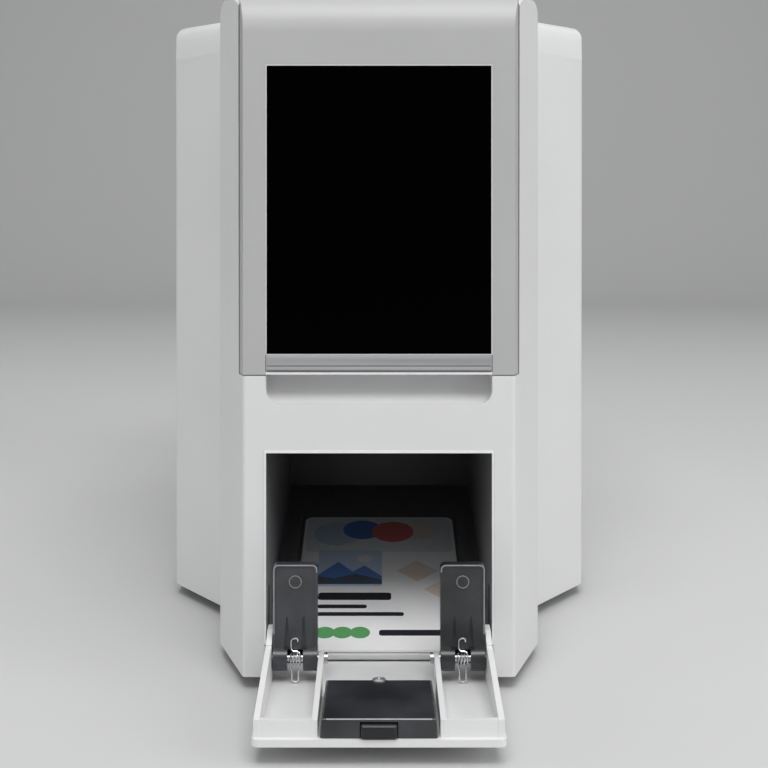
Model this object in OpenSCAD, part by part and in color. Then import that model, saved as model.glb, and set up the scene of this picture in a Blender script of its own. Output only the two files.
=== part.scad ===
// Desktop card printer with a lifting hood, a fold-down output door and two sprung card stops.
// +Z is up and the front faces -Y. The origin lies on the table, under the middle of the printer
// with its output door open. Inside the modules y = 0 is the front face.

/* [Body] */
// Height of the rubber feet
foot_h = 4; // [3:0.5:6]
// Width over the side covers
body_w = 155.2; // [150:0.4:166]
// Depth from the front face to the rear panel
body_d = 340; // [334:1:370]
// Height of the nose above the feet
body_h = 213; // [208:1:225]
// Wall of the moulded shells
wall = 2.5; // [2:0.1:3]
// Gap at the seams between the shells
seam = 0.3; // [0.2:0.05:0.5]

/* [Nose] */
// Width of the flat front face
face_w = 82.6; // [80:0.2:86]
// Width of the nose between the side covers
nose_w = 104.2; // [100:0.2:110]
// Depth of the slanted facets beside the front face
facet_d = 31; // [26:1:36]
// Depth at which the side covers meet the nose
nose_d = 65; // [55:1:75]
// Radius of the bend from the front face to the top
brow_r = 18; // [12:1:22]
// Radius of the shoulders along the top
shoulder_r = 8; // [5:0.5:10]

/* [Side covers] */
// Depth of the slanted front of a side cover
wing_d = 35; // [28:1:42]
// Height of the side covers above the feet
wing_h = 207; // [200:1:207]
// Radius of the top edges of a side cover
wing_r = 11; // [8:0.5:12]
// Cooling slots in each side cover
vent_n = 9; // [5:1:11]

/* [Hood] */
// Width of the hood
hood_w = 85.6; // [84:0.2:90]
// Height of the lower edge of the hood above the feet
hood_z = 91.7; // [88:0.5:94]
// Depth of the hood over the top
hood_d = 215; // [205:1:220]
// Radius of the rounded rear end of the hood, about its hinge
hood_hinge_r = 9; // [8:0.5:11]
// Depth of the stiffening rim around the hood
hood_rim = 11; // [9:0.5:13]
// Width of the black window
window_w = 68.9; // [60:0.1:72]
// Height of the black window
window_h = 87.6; // [70:0.2:88]
// Height of the bright trim bar
trim_h = 5.4; // [4:0.2:6]
// Depth of the finger scoop under the hood
scoop_r = 12; // [10:0.5:13]
// Height of the finger scoop
scoop_h = 8.8; // [8:0.2:9.6]

/* [Output door] */
// Width of the output opening
opening_w = 68.8; // [68:0.2:72]
// Height of the output opening above the feet
opening_h = 68; // [66:0.5:72]
// Height of the door hinge above the feet
hinge_z = 6.5; // [6:0.1:7.5]
// Thickness of the plate of the door
door_t = 2; // [1.6:0.1:2.4]
// Gap beside the closed door
door_gap = 1.0; // [0.8:0.1:1.4]
// Distance of the stop pins from the door hinge
stop_u = 18; // [17:0.5:19]
// Length of a card stop above its pin
stop_l = 27.8; // [24:0.2:29]
// Width of a card stop
stop_w = 13.1; // [12:0.1:13.2]
// Diameter of the stop pins
stop_pin_d = 2.4; // [2:0.1:2.8]
// Diameter of the door hinge pins
door_pin_d = 3; // [2.4:0.1:3.6]

/* [Cards] */
// Width of a card
card_w = 54; // [53.9:0.1:54.1]
// Length of a card
card_l = 85.6; // [85.4:0.1:85.8]
// Thickness of a card
card_t = 0.76; // [0.5:0.02:1]
// Slope of the output tray in degrees
tray_slope = 14.4; // [12:0.2:16]
// Height of the stack of blank cards
stack_h = 45; // [10:1:70]

/* [Printing] */
// Height of the card path above the feet
path_z = 61.5; // [60:0.5:63]
// Radius of the platen and the card rollers
roller_r = 7; // [6:0.25:7.5]
// Diameter of the roller shafts
shaft_d = 6; // [5:0.5:6]
// Radius of the full ribbon on its spool
ribbon_r = 15; // [10:0.5:17]
// Travel of the print head away from the card
head_lift = 2; // [1:0.25:3]

/* [Hidden] */
$fn = 48;

// Places shared by the parts
z0 = foot_h;
top = z0 + body_h;
wing_top = z0 + wing_h;
eps = 0.01;
blend = 0.02;
run = 0.05; // radial clearance of a running shaft or pin
fit = 0.2; // clearance between fixed neighbours
far = 400; // longer than any part
base_t = 3;

// Door, measured from its hinge: u runs to the free edge and w from the outer face inwards
hinge_y = 5;
door_axis_w = hinge_y; // the closed door is flush with the front face
door_w = opening_w - 2 * door_gap;
door_edge_gap = 1.3;
door_l = opening_h - hinge_z - door_edge_gap;
cheek_t = 1.6;
cheek_eye = 4.6; // radius of the eye round the hinge pin
cheek_out = door_w / 2 - 0.5;
cheek_in = cheek_out - cheek_t;
stop_gap = 0.3;
stop_out = cheek_in - stop_gap;
stop_in = stop_out - stop_w;
inner_out = stop_in - stop_gap;
inner_t = 1.5;
inner_in = inner_out - inner_t;
stop_pin_w = 8.8;
barrel_r = 3.6;
stop_t = 3.2;
stop_recess = 0.35;
frame_w = 6.6; // height of the door's frame at its free edge
frame_in = 1.6; // the frame stands in from the edge of the plate
frame_t = 1.8;
latch_w = 2 * (inner_in - 0.5);
latch_u0 = 31;
latch_u1 = door_l - 0.8;
latch_top = 7.2;
screw_seat = latch_top - 0.5;
screw_core = 0.9;
bolt_w = 9.6;
bolt_proud = 1.6;
bolt_travel = 1.5;
door_reach = latch_u1 + bolt_proud - hinge_y;
front_y = (door_reach - body_d) / 2;
bolt_l = 12;
screw_r = 1.9;
screw_u = latch_u0 + 0.4;

// Stop spring
spring_wire = 0.5;
spring_r = 2;
spring_turns = 3;
spring_pitch = 0.95;
spring_rings = 8;
spring_sides = 6;
slot_w = 4.6;

// Inside
frame_x = 40;
frame_t2 = 2;
frame_z1 = z0 + 176;
chamber_d = 116;
chamber_t = 2;
chamber_out = opening_w / 2 + fit + chamber_t;
path = z0 + path_z;
shaft_z = path - card_t / 2 - roller_r;
upper_r = 6;
upper_shaft_d = 4;
bushing_r = shaft_d / 2 + 1.6;
motor_collar_r = 9;
spool_shaft_r = 3;
upper_z = path + card_t / 2 + upper_r;
exit_y = 130;
platen_y = 160;
feed_y = 192;
pick_y = 246;
bin_y0 = 236;
bin_gap = 1;
bin_t = 2;
bin_y1 = bin_y0 + card_l + 2 * bin_gap;
bin_z0 = path - card_t / 2 - 3;
bin_out = card_w / 2 + bin_gap + bin_t;
motor_y = 185;
motor_z = z0 + 28;
motor_w = 35;
motor_l = 28;
motor_shaft_r = 2.5;
pulley_r = 6;
pulley_w = 6;
belt_t = 1.2;
belt_gap = 0.3;
pulley_x = frame_x + frame_t2 + 3;
drive_end = pulley_x + pulley_w + 1;
spool_z = path + 34;
supply_y = 204;
takeup_y = 116;
spool_core_r = 6;
takeup_r = 8;
film_t = 0.3;
film_w = 56;
lid_y0 = hood_d + 16;
lid_y1 = body_d - 8;
lid_w = 74;
lid_t = 2.2;
lid_axis_y = lid_y1 - 4;
lid_axis_z = top - 4;
lid_pin_r = 1.5;
hood_axis_y = hood_d - hood_hinge_r;
hood_axis_z = top - hood_hinge_r;
hood_pin_r = 2;
hood_open = hood_w / 2 + seam;
skirt = 26;
rear_t = 2.5;
rear_y = body_d - rear_t;
inlet_x = body_w / 2 - 20.6;
inlet_z = z0 + 22;
inlet_w = 27;
inlet_h = 20;
switch_z = z0 + 48;
usb_x = 21.6 - body_w / 2;
usb_z = z0 + 34;
fan_w = 40;
fan_z = z0 + 30;
fan_d = 10;
screw_head_r = 3;
side_screw_z = [z0 + 8, wing_top - 24];
side_screw_y = body_d - 18;
side_screw_r = 1.5;
rear_screw_x = body_w / 2 - 7.6;
rear_screws = [
    [-rear_screw_x, z0 + 12], [rear_screw_x, z0 + 80], [-rear_screw_x, z0 + 120], [rear_screw_x, z0 + 150]
];

// ---- helpers ----------------------------------------------------------------

function unit(v) = v / norm(v);
function inward(a, b) = let (d = unit(b - a)) [-d[1], d[0]];

// Corners of an anticlockwise outline whose edge i, from point i, moves inwards by shifts[i]
function moved(points, shifts) = let (n = len(points)) [
    for (i = [0 : n - 1])
        let (
            p = points[i],
            n1 = inward(points[(i + n - 1) % n], p),
            n2 = inward(p, points[(i + 1) % n]),
            t1 = shifts[(i + n - 1) % n],
            t2 = shifts[i],
            c = n1 * n2
        )
        p + (t1 * (n1 - c * n2) + t2 * (n2 - c * n1)) / (1 - c * c)
];

// Polygon with true arcs: radii[i] rounds the outer corner i
module rounded(points, radii) {
    n = len(points);
    difference() {
        polygon(points);
        for (i = [0 : n - 1])
            if (radii[i] > 0) {
                p = points[i];
                n1 = inward(points[(i + n - 1) % n], p);
                n2 = inward(p, points[(i + 1) % n]);
                c = p + radii[i] * (n1 + n2) / (1 + n1 * n2);
                difference() {
                    polygon([c - radii[i] * n1, p + 0.3 * (p - c), c - radii[i] * n2]);
                    translate(c) circle(radii[i]);
                }
            }
    }
}

// Moves a part from its own place behind the front face to the printer's frame
module at_front() {
    translate([0, front_y, 0]) children();
}

// Profile in (y, z), extruded along x from x0 to x1
module along_x(x0, x1) {
    translate([x0, 0, 0]) rotate([90, 0, 90]) linear_extrude(x1 - x0) children();
}

// Profile in (x, z), extruded along y from y0 to y1
module along_y(y0, y1) {
    translate([0, y1, 0]) rotate([90, 0, 0]) linear_extrude(y1 - y0) children();
}

module box(lo, hi) {
    translate(lo) cube(hi - lo);
}

// Cylinder along x
module rod(x0, x1, y, z, r) {
    translate([x0, y, z]) rotate([0, 90, 0]) cylinder(h = x1 - x0, r = r);
}

module both_sides() {
    children();
    mirror([1, 0, 0]) children();
}

// ---- outer forms ------------------------------------------------------------

nose_points = [
    [-face_w / 2, 0], [face_w / 2, 0], [nose_w / 2, facet_d],
    [nose_w / 2, nose_d], [-nose_w / 2, nose_d], [-nose_w / 2, facet_d]
];

// Waste to cut off a square edge at (0, 0), with the solid towards +x and +y, to round it.
// The arc meets both faces at a very flat angle, blend outside its tangents.
module edge_waste(r) {
    difference() {
        translate([-1, -1]) square(r + 1 - blend);
        translate([r - blend, r - blend]) circle(r);
    }
}

// Nose and spine: the plan of the nose runs on to y1, inset by t on its outside
module nose_form(t, y1, low) {
    plan = moved([for (p = nose_points) p[1] == nose_d ? [p[0], y1] : p], [t, t, t, 0, t, t]);
    difference() {
        translate([0, 0, low]) linear_extrude(top - t - low) rounded(plan, [0, 0, 5, 0, 0, 5]);
        along_x(-nose_w, nose_w) translate([t, top - t]) rotate(-90) edge_waste(brow_r - t);
        both_sides() along_y(-1, y1 + 1)
            translate([nose_w / 2 - t, top - t]) rotate(180) edge_waste(shoulder_r - t);
    }
}

wing_points = [
    [nose_w / 2 + seam, nose_d + seam], [body_w / 2, nose_d + wing_d],
    [body_w / 2, rear_y - seam], [nose_w / 2 + seam, rear_y - seam]
];
wing_angle = atan2(wing_points[1][1] - wing_points[0][1], wing_points[1][0] - wing_points[0][0]);

// Right side cover as a solid, inset by t on its outer faces and run through on the others
module wing_form(t, low, through) {
    plan = moved(wing_points, [t, t, -through, -through]);
    difference() {
        translate([0, 0, low]) linear_extrude(wing_top - t - low) rounded(plan, [0, 7 - t, 0, 0]);
        along_y(nose_d - 1, far) translate([body_w / 2 - t, wing_top - t]) rotate(180)
            edge_waste(wing_r - 2 - t);
        translate([wing_points[0][0], wing_points[0][1], 0]) rotate([0, 0, wing_angle])
            along_x(-20, 80) translate([t, wing_top - t]) rotate(-90) edge_waste(wing_r - t);
    }
}

// ---- shells -----------------------------------------------------------------

// Outline of the whole housing, anticlockwise from the left end of the front face
housing_points = concat(
    [[-face_w / 2, 0], [face_w / 2, 0], [nose_w / 2, facet_d], [nose_w / 2, nose_d + seam]],
    [wing_points[1], wing_points[2]],
    [for (p = [wing_points[2], wing_points[1], [nose_w / 2, nose_d + seam], [nose_w / 2, facet_d]]) [-p[0],
        p[1]]]
);

module base_plate() {
    inset = wall + fit;
    slant = inset + 2 * fit;
    side = inset + fit;
    shifts = [inset, inset, inset, slant, side, 0, side, slant, inset, inset];
    color("gray") at_front() difference() {
        translate([0, 0, z0]) linear_extrude(base_t) polygon(moved(housing_points, shifts));
        box([-chamber_out, -1, z0 - 1], [chamber_out, hinge_y + cheek_eye + 1, z0 + base_t + 1]);
        for (x = [-30, 0, 30], y = [110 : 22 : 300])
            box([x - 8, y, z0 - 1], [x + 8, y + 3, z0 + base_t + 1]);
    }
}

foot_places = [[-36, 20], [36, 20], [-62, body_d - 30], [62, body_d - 30]];

module rubber_feet() {
    color("dimgray") at_front() for (p = foot_places) translate([p[0], p[1], 0]) difference() {
        union() {
            cylinder(h = 1, r1 = 6, r2 = 7);
            translate([0, 0, 1]) cylinder(h = foot_h - 1, r = 7);
        }
        translate([0, 0, -1]) cylinder(h = 2.5, r = 3);
    }
}

scoop_w = opening_w;
scoop_top = z0 + hood_z - seam;
scoop_low = z0 + hood_z - scoop_h;

// Finger scoop under the hood, grown by t
module scoop_form(t) {
    half = scoop_w / 2 + t;
    intersection() {
        rod(-half, half, 1, scoop_low + scoop_r, scoop_r + t);
        along_y(0, scoop_r + t + 2) rounded(
            [[-half, scoop_low - t], [half, scoop_low - t], [half, scoop_top + 2], [-half, scoop_top + 2]],
            [4 + t, 4 + t, 0, 0]);
    }
}

module front_shell() {
    color("whitesmoke") at_front() difference() {
        nose_form(0, nose_d, z0);
        difference() {
            nose_form(wall, nose_d + 5, z0 - 1);
            translate([0, -1, 0]) scoop_form(1.8);
        }
        box([-hood_open, -1, scoop_top], [hood_open, nose_d + 5, top + 1]);
        box([-opening_w / 2, -1, z0 - 1], [opening_w / 2, wall + 12, z0 + opening_h]);
        translate([0, -1, 0]) scoop_form(0);
    }
}

vent_w = 2.4;
vent_pitch = 9;

module side_cover() {
    difference() {
        wing_form(0, z0, 0);
        wing_form(wall, z0 - 1, 5);
        for (i = [0 : vent_n - 1])
            along_x(body_w / 2 - wall - 1, body_w / 2 + 1)
                translate([body_d - 60 - i * vent_pitch, z0 + 24]) union() {
                    square([vent_w, 44]);
                    translate([vent_w / 2, 0]) circle(vent_w / 2);
                    translate([vent_w / 2, 44]) circle(vent_w / 2);
                }
        for (z = side_screw_z) {
            rod(body_w / 2 - side_screw_r, body_w / 2 + 1, side_screw_y, z, screw_head_r + fit);
            rod(body_w / 2 - wall - 1, body_w / 2, side_screw_y, z, side_screw_r + 0.1);
        }
    }
}

module left_side_cover() {
    color("white") at_front() mirror([1, 0, 0]) side_cover();
}

module right_side_cover() {
    color("white") at_front() side_cover();
}

// Section of the spine, inset by t
module spine_section(t, low) {
    half = nose_w / 2 - t;
    rounded([[-half, low], [half, low], [half, top - t], [-half, top - t]],
        [0, 0, shoulder_r - t, shoulder_r - t]);
}

// Spine behind the nose: rails beside the hood, the hinge webs and the rear deck
module top_cover() {
    y0 = nose_d + seam;
    low = top - skirt;
    web = 2;
    color("whitesmoke") at_front() difference() {
        union() {
            difference() {
                along_y(y0, body_d) spine_section(0, low);
                along_y(y0 - 1, body_d - wall) spine_section(wall, low - 1);
            }
            // webs that hold the hood pins
            both_sides() box([hood_open - 1, hood_axis_y - 14, top - 20],
                [hood_open + web, hood_d + 3, top - 1]);
            box([-hood_open - 1, hood_axis_y + 4, top - 18], [hood_open + 1, hood_d + 3, top - 1]);
            // ears that hold the lid pin
            both_sides() box([lid_w / 2 - 1, lid_axis_y - 5, top - 9], [lid_w / 2 + 3, lid_y1 + 1, top - 1]);
        }
        box([-hood_open, -1, low - 1], [hood_open, hood_axis_y + 3, top + 1]);
        rod(-hood_open, hood_open, hood_axis_y, hood_axis_z, hood_hinge_r + 2 * seam);
        box([-hood_open, hood_axis_y, hood_axis_z], [hood_open, hood_d + seam, top + 1]);
        box([-lid_w / 2 - seam, lid_y0 - seam, top - lid_t], [lid_w / 2 + seam, lid_y1 + seam, top + 1]);
        box([-bin_out - 1, lid_y0 + 3, top - 10], [bin_out + 1, bin_y1 + 1, top + 1]);
        box([-lid_w / 2 - seam, lid_axis_y - 5, top - 10], [lid_w / 2 + seam, lid_y1 + seam, top + 1]);
        rod(-hood_open - web - 1, hood_open + web + 1, hood_axis_y, hood_axis_z, hood_pin_r);
        rod(-lid_w / 2 - 6, lid_w / 2 + 6, lid_axis_y, lid_axis_z, lid_pin_r);
    }
}

module rear_panel() {
    half = body_w / 2;
    low_edge = top - skirt - seam;
    color("whitesmoke") at_front() difference() {
        along_y(rear_y, body_d) difference() {
            rounded([[-half, z0], [half, z0], [half, wing_top], [-half, wing_top]],
                [3, 3, wing_r - 2, wing_r - 2]);
            translate([-nose_w / 2 - seam, low_edge]) square([nose_w + 2 * seam, far]);
        }
        box([inlet_x - inlet_w / 2 - fit, rear_y - 1, inlet_z - inlet_h / 2 - fit],
            [inlet_x + inlet_w / 2 + fit, body_d + 1, inlet_z + inlet_h / 2 + fit]);
        box([inlet_x - 7 - fit, rear_y - 1, switch_z - 10 - fit],
            [inlet_x + 7 + fit, body_d + 1, switch_z + 10 + fit]);
        box([usb_x - 6.2, rear_y - 1, usb_z - 5.6], [usb_x + 6.2, body_d + 1, usb_z + 5.6]);
        for (x = [-15 : 5 : 15])
            along_y(rear_y - 1, body_d + 1) translate([x - 1.25, fan_z - sqrt(289 - x * x)])
                square([2.5, 2 * sqrt(289 - x * x)]);
        for (i = [0 : 7]) box([-24, rear_y - 1, z0 + 70 + i * 7], [24, body_d + 1, z0 + 72.5 + i * 7]);
        for (p = rear_screws) along_y(rear_y - 1, body_d + 1) translate(p) circle(side_screw_r + 0.1);
    }
}

// ---- hood -------------------------------------------------------------------

window_z0 = z0 + 98.3;
trim_z0 = z0 + 92.6;

// Hood as a solid, inset by t: its sides follow the facets a little way round
module hood_form(t, low) {
    half = hood_w / 2;
    wrap = (half - face_w / 2) * facet_d / ((nose_w - face_w) / 2);
    plan = moved([[-face_w / 2, 0], [face_w / 2, 0], [half, wrap], [half, hood_d], [-half, hood_d],
        [-half, wrap]],
        [t, t, t, t, t, t]);
    difference() {
        translate([0, 0, low]) linear_extrude(top - t - low) rounded(plan, [0, 0, 0, 0, 0, 0]);
        along_x(-far, far) translate([t, top - t]) rotate(-90) edge_waste(brow_r - t);
        along_x(-far, far) translate([hood_d - t, top - t]) rotate(180) edge_waste(hood_hinge_r - t);
    }
}

module hood() {
    half = hood_w / 2;
    low = z0 + hood_z;
    color("gainsboro") at_front() difference() {
        union() {
            difference() {
                hood_form(0, low);
                hood_form(wall, low - 1);
                // only a rim is left of the sides
                along_x(-far, far) rounded([[hood_rim, low - 2], [far, low - 2], [far, top - hood_rim],
                    [hood_rim, top - hood_rim]], [0, 0, 0, brow_r - hood_rim]);
            }
            // lip along the lower edge
            box([-half + 1, 1, low], [half - 1, hood_rim - 1, low + 2.2]);
            // hinge ears
            both_sides() rod(half - 4, half, hood_axis_y, hood_axis_z, hood_hinge_r - 1);
        }
        box([-window_w / 2, -1, window_z0], [window_w / 2, 1.2, window_z0 + window_h]);
        box([-window_w / 2, -1, trim_z0], [window_w / 2, 1.2, trim_z0 + trim_h]);
        both_sides() rod(half - 5, half + 1, hood_axis_y, hood_axis_z, hood_pin_r + run);
    }
}

module hood_hinge_pins() {
    color("silver") at_front() both_sides()
        rod(hood_w / 2 - 3.9, hood_open + 2 + 1, hood_axis_y, hood_axis_z, hood_pin_r);
}

module display_glass() {
    g = 0.12;
    color("black") at_front() box(
        [-window_w / 2 + g, 0.15, window_z0 + g], [window_w / 2 - g, 1.2, window_z0 + window_h - g]);
}

module trim_bar() {
    g = 0.12;
    color("silver") at_front() along_x(-window_w / 2 + g, window_w / 2 - g) union() {
        translate([0.2, trim_z0 + g]) square([1, trim_h - 2 * g]);
        intersection() {
            translate([8.4, trim_z0 + trim_h / 2]) circle(8.6);
            translate([-1, trim_z0 + g]) square([1.5, trim_h - 2 * g]);
        }
    }
}

// ---- input hopper -----------------------------------------------------------

module hopper_lid() {
    color("whitesmoke") at_front() difference() {
        union() {
            box([-lid_w / 2, lid_y0, top - lid_t + fit], [lid_w / 2, lid_axis_y, top]);
            intersection() {
                rod(-lid_w / 2, lid_w / 2, lid_axis_y, lid_axis_z, 4);
                box([-far, lid_axis_y - 4, 0], [far, far, top]);
            }
        }
        rod(-far, far, lid_axis_y, lid_axis_z, lid_pin_r + run);
        along_y(lid_y0 - 1, lid_y0 + 2) translate([0, top + 8]) circle(12);
    }
}

module lid_hinge_pin() {
    color("silver") at_front() rod(-lid_w / 2 - 5, lid_w / 2 + 5, lid_axis_y, lid_axis_z, lid_pin_r);
}

module input_hopper() {
    half = card_w / 2 + bin_gap;
    color("dimgray") at_front() difference() {
        union() {
            box([-bin_out, bin_y0 - bin_t, bin_z0], [bin_out, bin_y1 + bin_t, top - 9]);
            for (z = [bin_z0, frame_z1 - 20]) box([-frame_x, bin_y0 + 20, z], [frame_x, bin_y0 + 70, z + 3]);
        }
        box([-half, bin_y0, path - card_t / 2], [half, bin_y1, top]);
        box([-half, bin_y0 - bin_t - 1, path - card_t / 2], [half, bin_y0 + 1, path + card_t]);
        box([-card_w / 2 + 4, pick_y - roller_r - 1, bin_z0 - 1],
            [card_w / 2 - 4, pick_y + roller_r + 1, path]);
        box([-9, bin_y0 - bin_t - 1, path + 12], [9, bin_y0 + 1, top]);
    }
}

blank_y0 = bin_y0 + bin_gap;
stack_z0 = path - card_t / 2 + 0.1;

module blank_cards() {
    n = floor(stack_h / card_t / 6);
    color("white") at_front() for (i = [0 : n - 1])
        translate([0, blank_y0, stack_z0 + i * 6 * card_t]) linear_extrude(6 * card_t)
            translate([-card_w / 2, 0]) rounded([[0, 0], [card_w, 0], [card_w, card_l], [0, card_l]],
                [3, 3, 3, 3]);
}

module card_weight() {
    n = floor(stack_h / card_t / 6);
    z = stack_z0 + n * 6 * card_t;
    color("dimgray") at_front() difference() {
        union() {
            box([-card_w / 2 + 1, blank_y0 + 1, z], [card_w / 2 - 1, blank_y0 + card_l - 1, z + 6]);
            box([-6, blank_y0 + 30, z], [6, blank_y0 + 34, z + 22]);
        }
        box([-far, blank_y0 + 12, z + 2], [-8, blank_y0 + card_l - 12, z + 7]);
        box([8, blank_y0 + 12, z + 2], [far, blank_y0 + card_l - 12, z + 7]);
    }
}

// ---- output tray ------------------------------------------------------------

card_y0 = 3.6; // near end of the printed card
card_z0 = z0 + 6.3; // underside of its near end
lip_y1 = 5.8; // rear of the lip at the front of the tray
lip_r = 2.8;
guide_in = card_w / 2 + 1.4;
guide_mid = guide_in + 3.2;
guide_y0 = 18;

// Height of the sloping floor at depth y
function bed_z(y) = card_z0 - 0.2 + (y - card_y0) * tan(tray_slope);

// Side of a card guide that stands h above the floor
module guide_side(h) {
    guide_y1 = card_y0 + card_l * cos(tray_slope) + 2;
    polygon([
        [guide_y0, bed_z(guide_y0) - 0.8], [guide_y1, bed_z(guide_y1) - 0.8], [guide_y1, bed_z(guide_y1) + h],
        [guide_y0 + 3, bed_z(guide_y0 + 3) + h], [guide_y0, bed_z(guide_y0) + 0.5]
    ]);
}

// Moves something laid flat from y = 0 onto the slope of the tray
module on_slope() {
    translate([0, card_y0, card_z0]) rotate([tray_slope, 0, 0]) children();
}

module output_tray() {
    half = opening_w / 2 + fit;
    back = chamber_d;
    y0 = wall + fit;
    color([0.16, 0.16, 0.17]) at_front() difference() {
        union() {
            both_sides() box([half, y0, z0 + 3 + fit], [half + chamber_t, back, z0 + opening_h + 2]);
            box([-half - chamber_t, y0, z0 + opening_h + fit], [half + chamber_t, back, z0 + opening_h + 2]);
            box([-half - chamber_t, back - chamber_t, z0 + 3 + fit],
                [half + chamber_t, back, z0 + opening_h + 2]);
            // sloping floor
            along_x(-half - eps, half + eps) polygon([
                [lip_y1 + 0.1, bed_z(lip_y1 + 0.1) - 1.6], [lip_y1 + 0.1, bed_z(lip_y1 + 0.1)],
                [back, bed_z(back)], [back, bed_z(back) - 2.2]
            ]);
            // stepped guides beside the card
            both_sides() along_x(guide_in, guide_mid + eps) guide_side(2.1);
            both_sides() along_x(guide_mid, half + eps) guide_side(1.3);
            // bosses of the door pins
            both_sides() rod(half, half + chamber_t, hinge_y + 0.6, z0 + hinge_z, 3.2);
        }
        // card slot in the back wall
        box([-card_w / 2 - 2, back - chamber_t - 1, z0 + opening_h - 10],
            [card_w / 2 + 2, back + 1, z0 + opening_h - 3]);
        both_sides() rod(half - 1, half + chamber_t + 1, hinge_y, z0 + hinge_z, door_pin_d / 2);
        box([-bolt_w / 2 - 1, y0 - 1, z0 + opening_h - 1], [bolt_w / 2 + 1, y0 + 6, z0 + opening_h + 3]);
        box([-far, -1, 0], [far, y0, far]);
        // relief for the cheeks of the door
        both_sides() box([cheek_in - 0.6, -1, z0 + 1], [half + 0.3, 16, z0 + 24]);
    }
}

// White lip below the near end of the card, inside the sweep of the door
module tray_lip() {
    half = cheek_in - 0.4;
    color("whitesmoke") at_front() along_x(-half, half) intersection() {
        translate([hinge_y, z0 + hinge_z]) circle(lip_r);
        translate([0, z0]) square([lip_y1, card_z0 - 0.3 - z0]);
    }
}

module printed_card() {
    color("aliceblue") at_front() on_slope() linear_extrude(card_t)
        translate([-card_w / 2, 0])
            rounded([[0, 0], [card_w, 0], [card_w, card_l], [0, card_l]], [3, 3, 3, 3]);
}

// ---- output door ------------------------------------------------------------

// Door frame of reference: x stays, the child's y is u towards the free edge, its z is w
module on_door() {
    at_front() translate([0, hinge_y, z0 + hinge_z - door_axis_w]) rotate([0, 0, 180]) children();
}

cheek_outline = [
    [0, 0.7], [door_l - frame_in, 0.7], [door_l - frame_in, frame_w], [22, 13.2],
    [16, 16.5], [11, 16.5], [0, door_axis_w + cheek_eye - 0.1]
];

module output_door() {
    half = door_w / 2;
    wall_top = frame_w + (11.8 - frame_w) * (door_l - 20) / (door_l - frame_in);
    color("whitesmoke") on_door() difference() {
        union() {
            linear_extrude(door_t)
                rounded([[-half, 1], [half, 1], [half, door_l], [-half, door_l]], [0, 0, 2, 2]);
            // cheeks
            both_sides() along_x(cheek_in, cheek_out) union() {
                rounded(cheek_outline, [0, 0, 0, 6, 3, 3, 0]);
                translate([0, door_axis_w]) circle(cheek_eye);
            }
            // inner walls beside the stops
            both_sides() along_x(inner_in, inner_out) rounded([
                [13.5, 0.4], [door_l - frame_in, 0.4], [door_l - frame_in, frame_w],
                [22, wall_top], [13.5, wall_top]], [0, 0, 0, 4, 3]);
            // wall along the free edge, open where the latch sits
            both_sides() box(
                [inner_in + 0.2, door_l - frame_in - frame_t, 1],
                [cheek_out - 0.2, door_l - frame_in - 0.1, frame_w - 0.1]
            );
        }
        both_sides() rod(cheek_in - 1, half + 1, 0, door_axis_w, door_pin_d / 2 + run);
        both_sides() rod(inner_in - 1, half + 1, stop_u, stop_pin_w, stop_pin_d / 2);
        translate([0, screw_u, -1]) cylinder(h = door_t + 2, r = screw_core);
    }
}

module door_hinge_pins() {
    color("silver") at_front() both_sides()
        rod(cheek_in + 0.1, chamber_out + 0.6, hinge_y, z0 + hinge_z, door_pin_d / 2);
}

module stop_pins() {
    color("silver") on_door() both_sides() union() {
        rod(inner_in - 1.1, cheek_out + 0.4, stop_u, stop_pin_w, stop_pin_d / 2);
        rod(inner_in - 1.1, inner_in - 0.1, stop_u, stop_pin_w, stop_pin_d / 2 + 0.4);
    }
}

// Card stop in the same frame as the door, upright, with its front face towards the free edge
module card_stop() {
    mid = (stop_in + stop_out) / 2;
    z1 = stop_pin_w + stop_l;
    face = stop_u + stop_t / 2;
    rim = 0.8;
    mark_z = z1 - 5.1;
    mark_r = 1.9;
    groove_low = 3;
    groove_top = 12.3;
    groove_deep = 1.2;
    difference() {
        union() {
            along_y(stop_u - stop_t / 2, face) rounded(
                [[stop_in, stop_pin_w], [stop_out, stop_pin_w], [stop_out, z1], [stop_in, z1]],
                    [0, 0, 1.6, 1.6]);
            rod(stop_in, stop_out, stop_u, stop_pin_w, barrel_r);
        }
        // shallow face between raised rims
        along_y(face - stop_recess, face + 1) rounded(
            [[stop_in + rim, stop_pin_w + barrel_r + 0.3], [stop_out - rim, stop_pin_w + barrel_r + 0.3],
             [stop_out - rim, z1 - rim], [stop_in + rim, z1 - rim]], [0.8, 0.8, 1, 1]);
        // two tapered grooves beside the hook of the spring
        for (s = [-1, 1]) along_y(face - groove_deep, face + barrel_r) translate([mid, stop_pin_w])
            polygon(s > 0
                ? [[1.7, groove_low], [3.3, groove_low], [2.65, groove_top], [2.15, groove_top]]
                : [[-3.3, groove_low], [-1.7, groove_low], [-2.15, groove_top], [-2.65, groove_top]]);
        // slot for the spring
        box([mid - slot_w / 2, stop_u - spring_r - 0.6, stop_pin_w - barrel_r - 1],
            [mid + slot_w / 2, stop_u + barrel_r + 1, stop_pin_w + spring_r + 0.9]);
        box([mid - slot_w / 2, face - stop_recess, stop_pin_w],
            [mid + slot_w / 2, face + barrel_r, stop_pin_w + barrel_r + 1]);
        rod(stop_in - 1, stop_out + 1, stop_u, stop_pin_w, stop_pin_d / 2 + run);
    }
    // moulded disc with a small bar
    translate([mid, face - 0.5, mark_z]) rotate([-90, 0, 0]) cylinder(h = 0.5, r = mark_r);
    box([mid - 1, face - 0.3, mark_z - 0.25], [mid + 1, face + 0.25, mark_z + 0.25]);
}

module left_card_stop() {
    color([0.2, 0.21, 0.22]) on_door() card_stop();
}

module right_card_stop() {
    color([0.2, 0.21, 0.22]) on_door() mirror([1, 0, 0]) card_stop();
}

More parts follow.
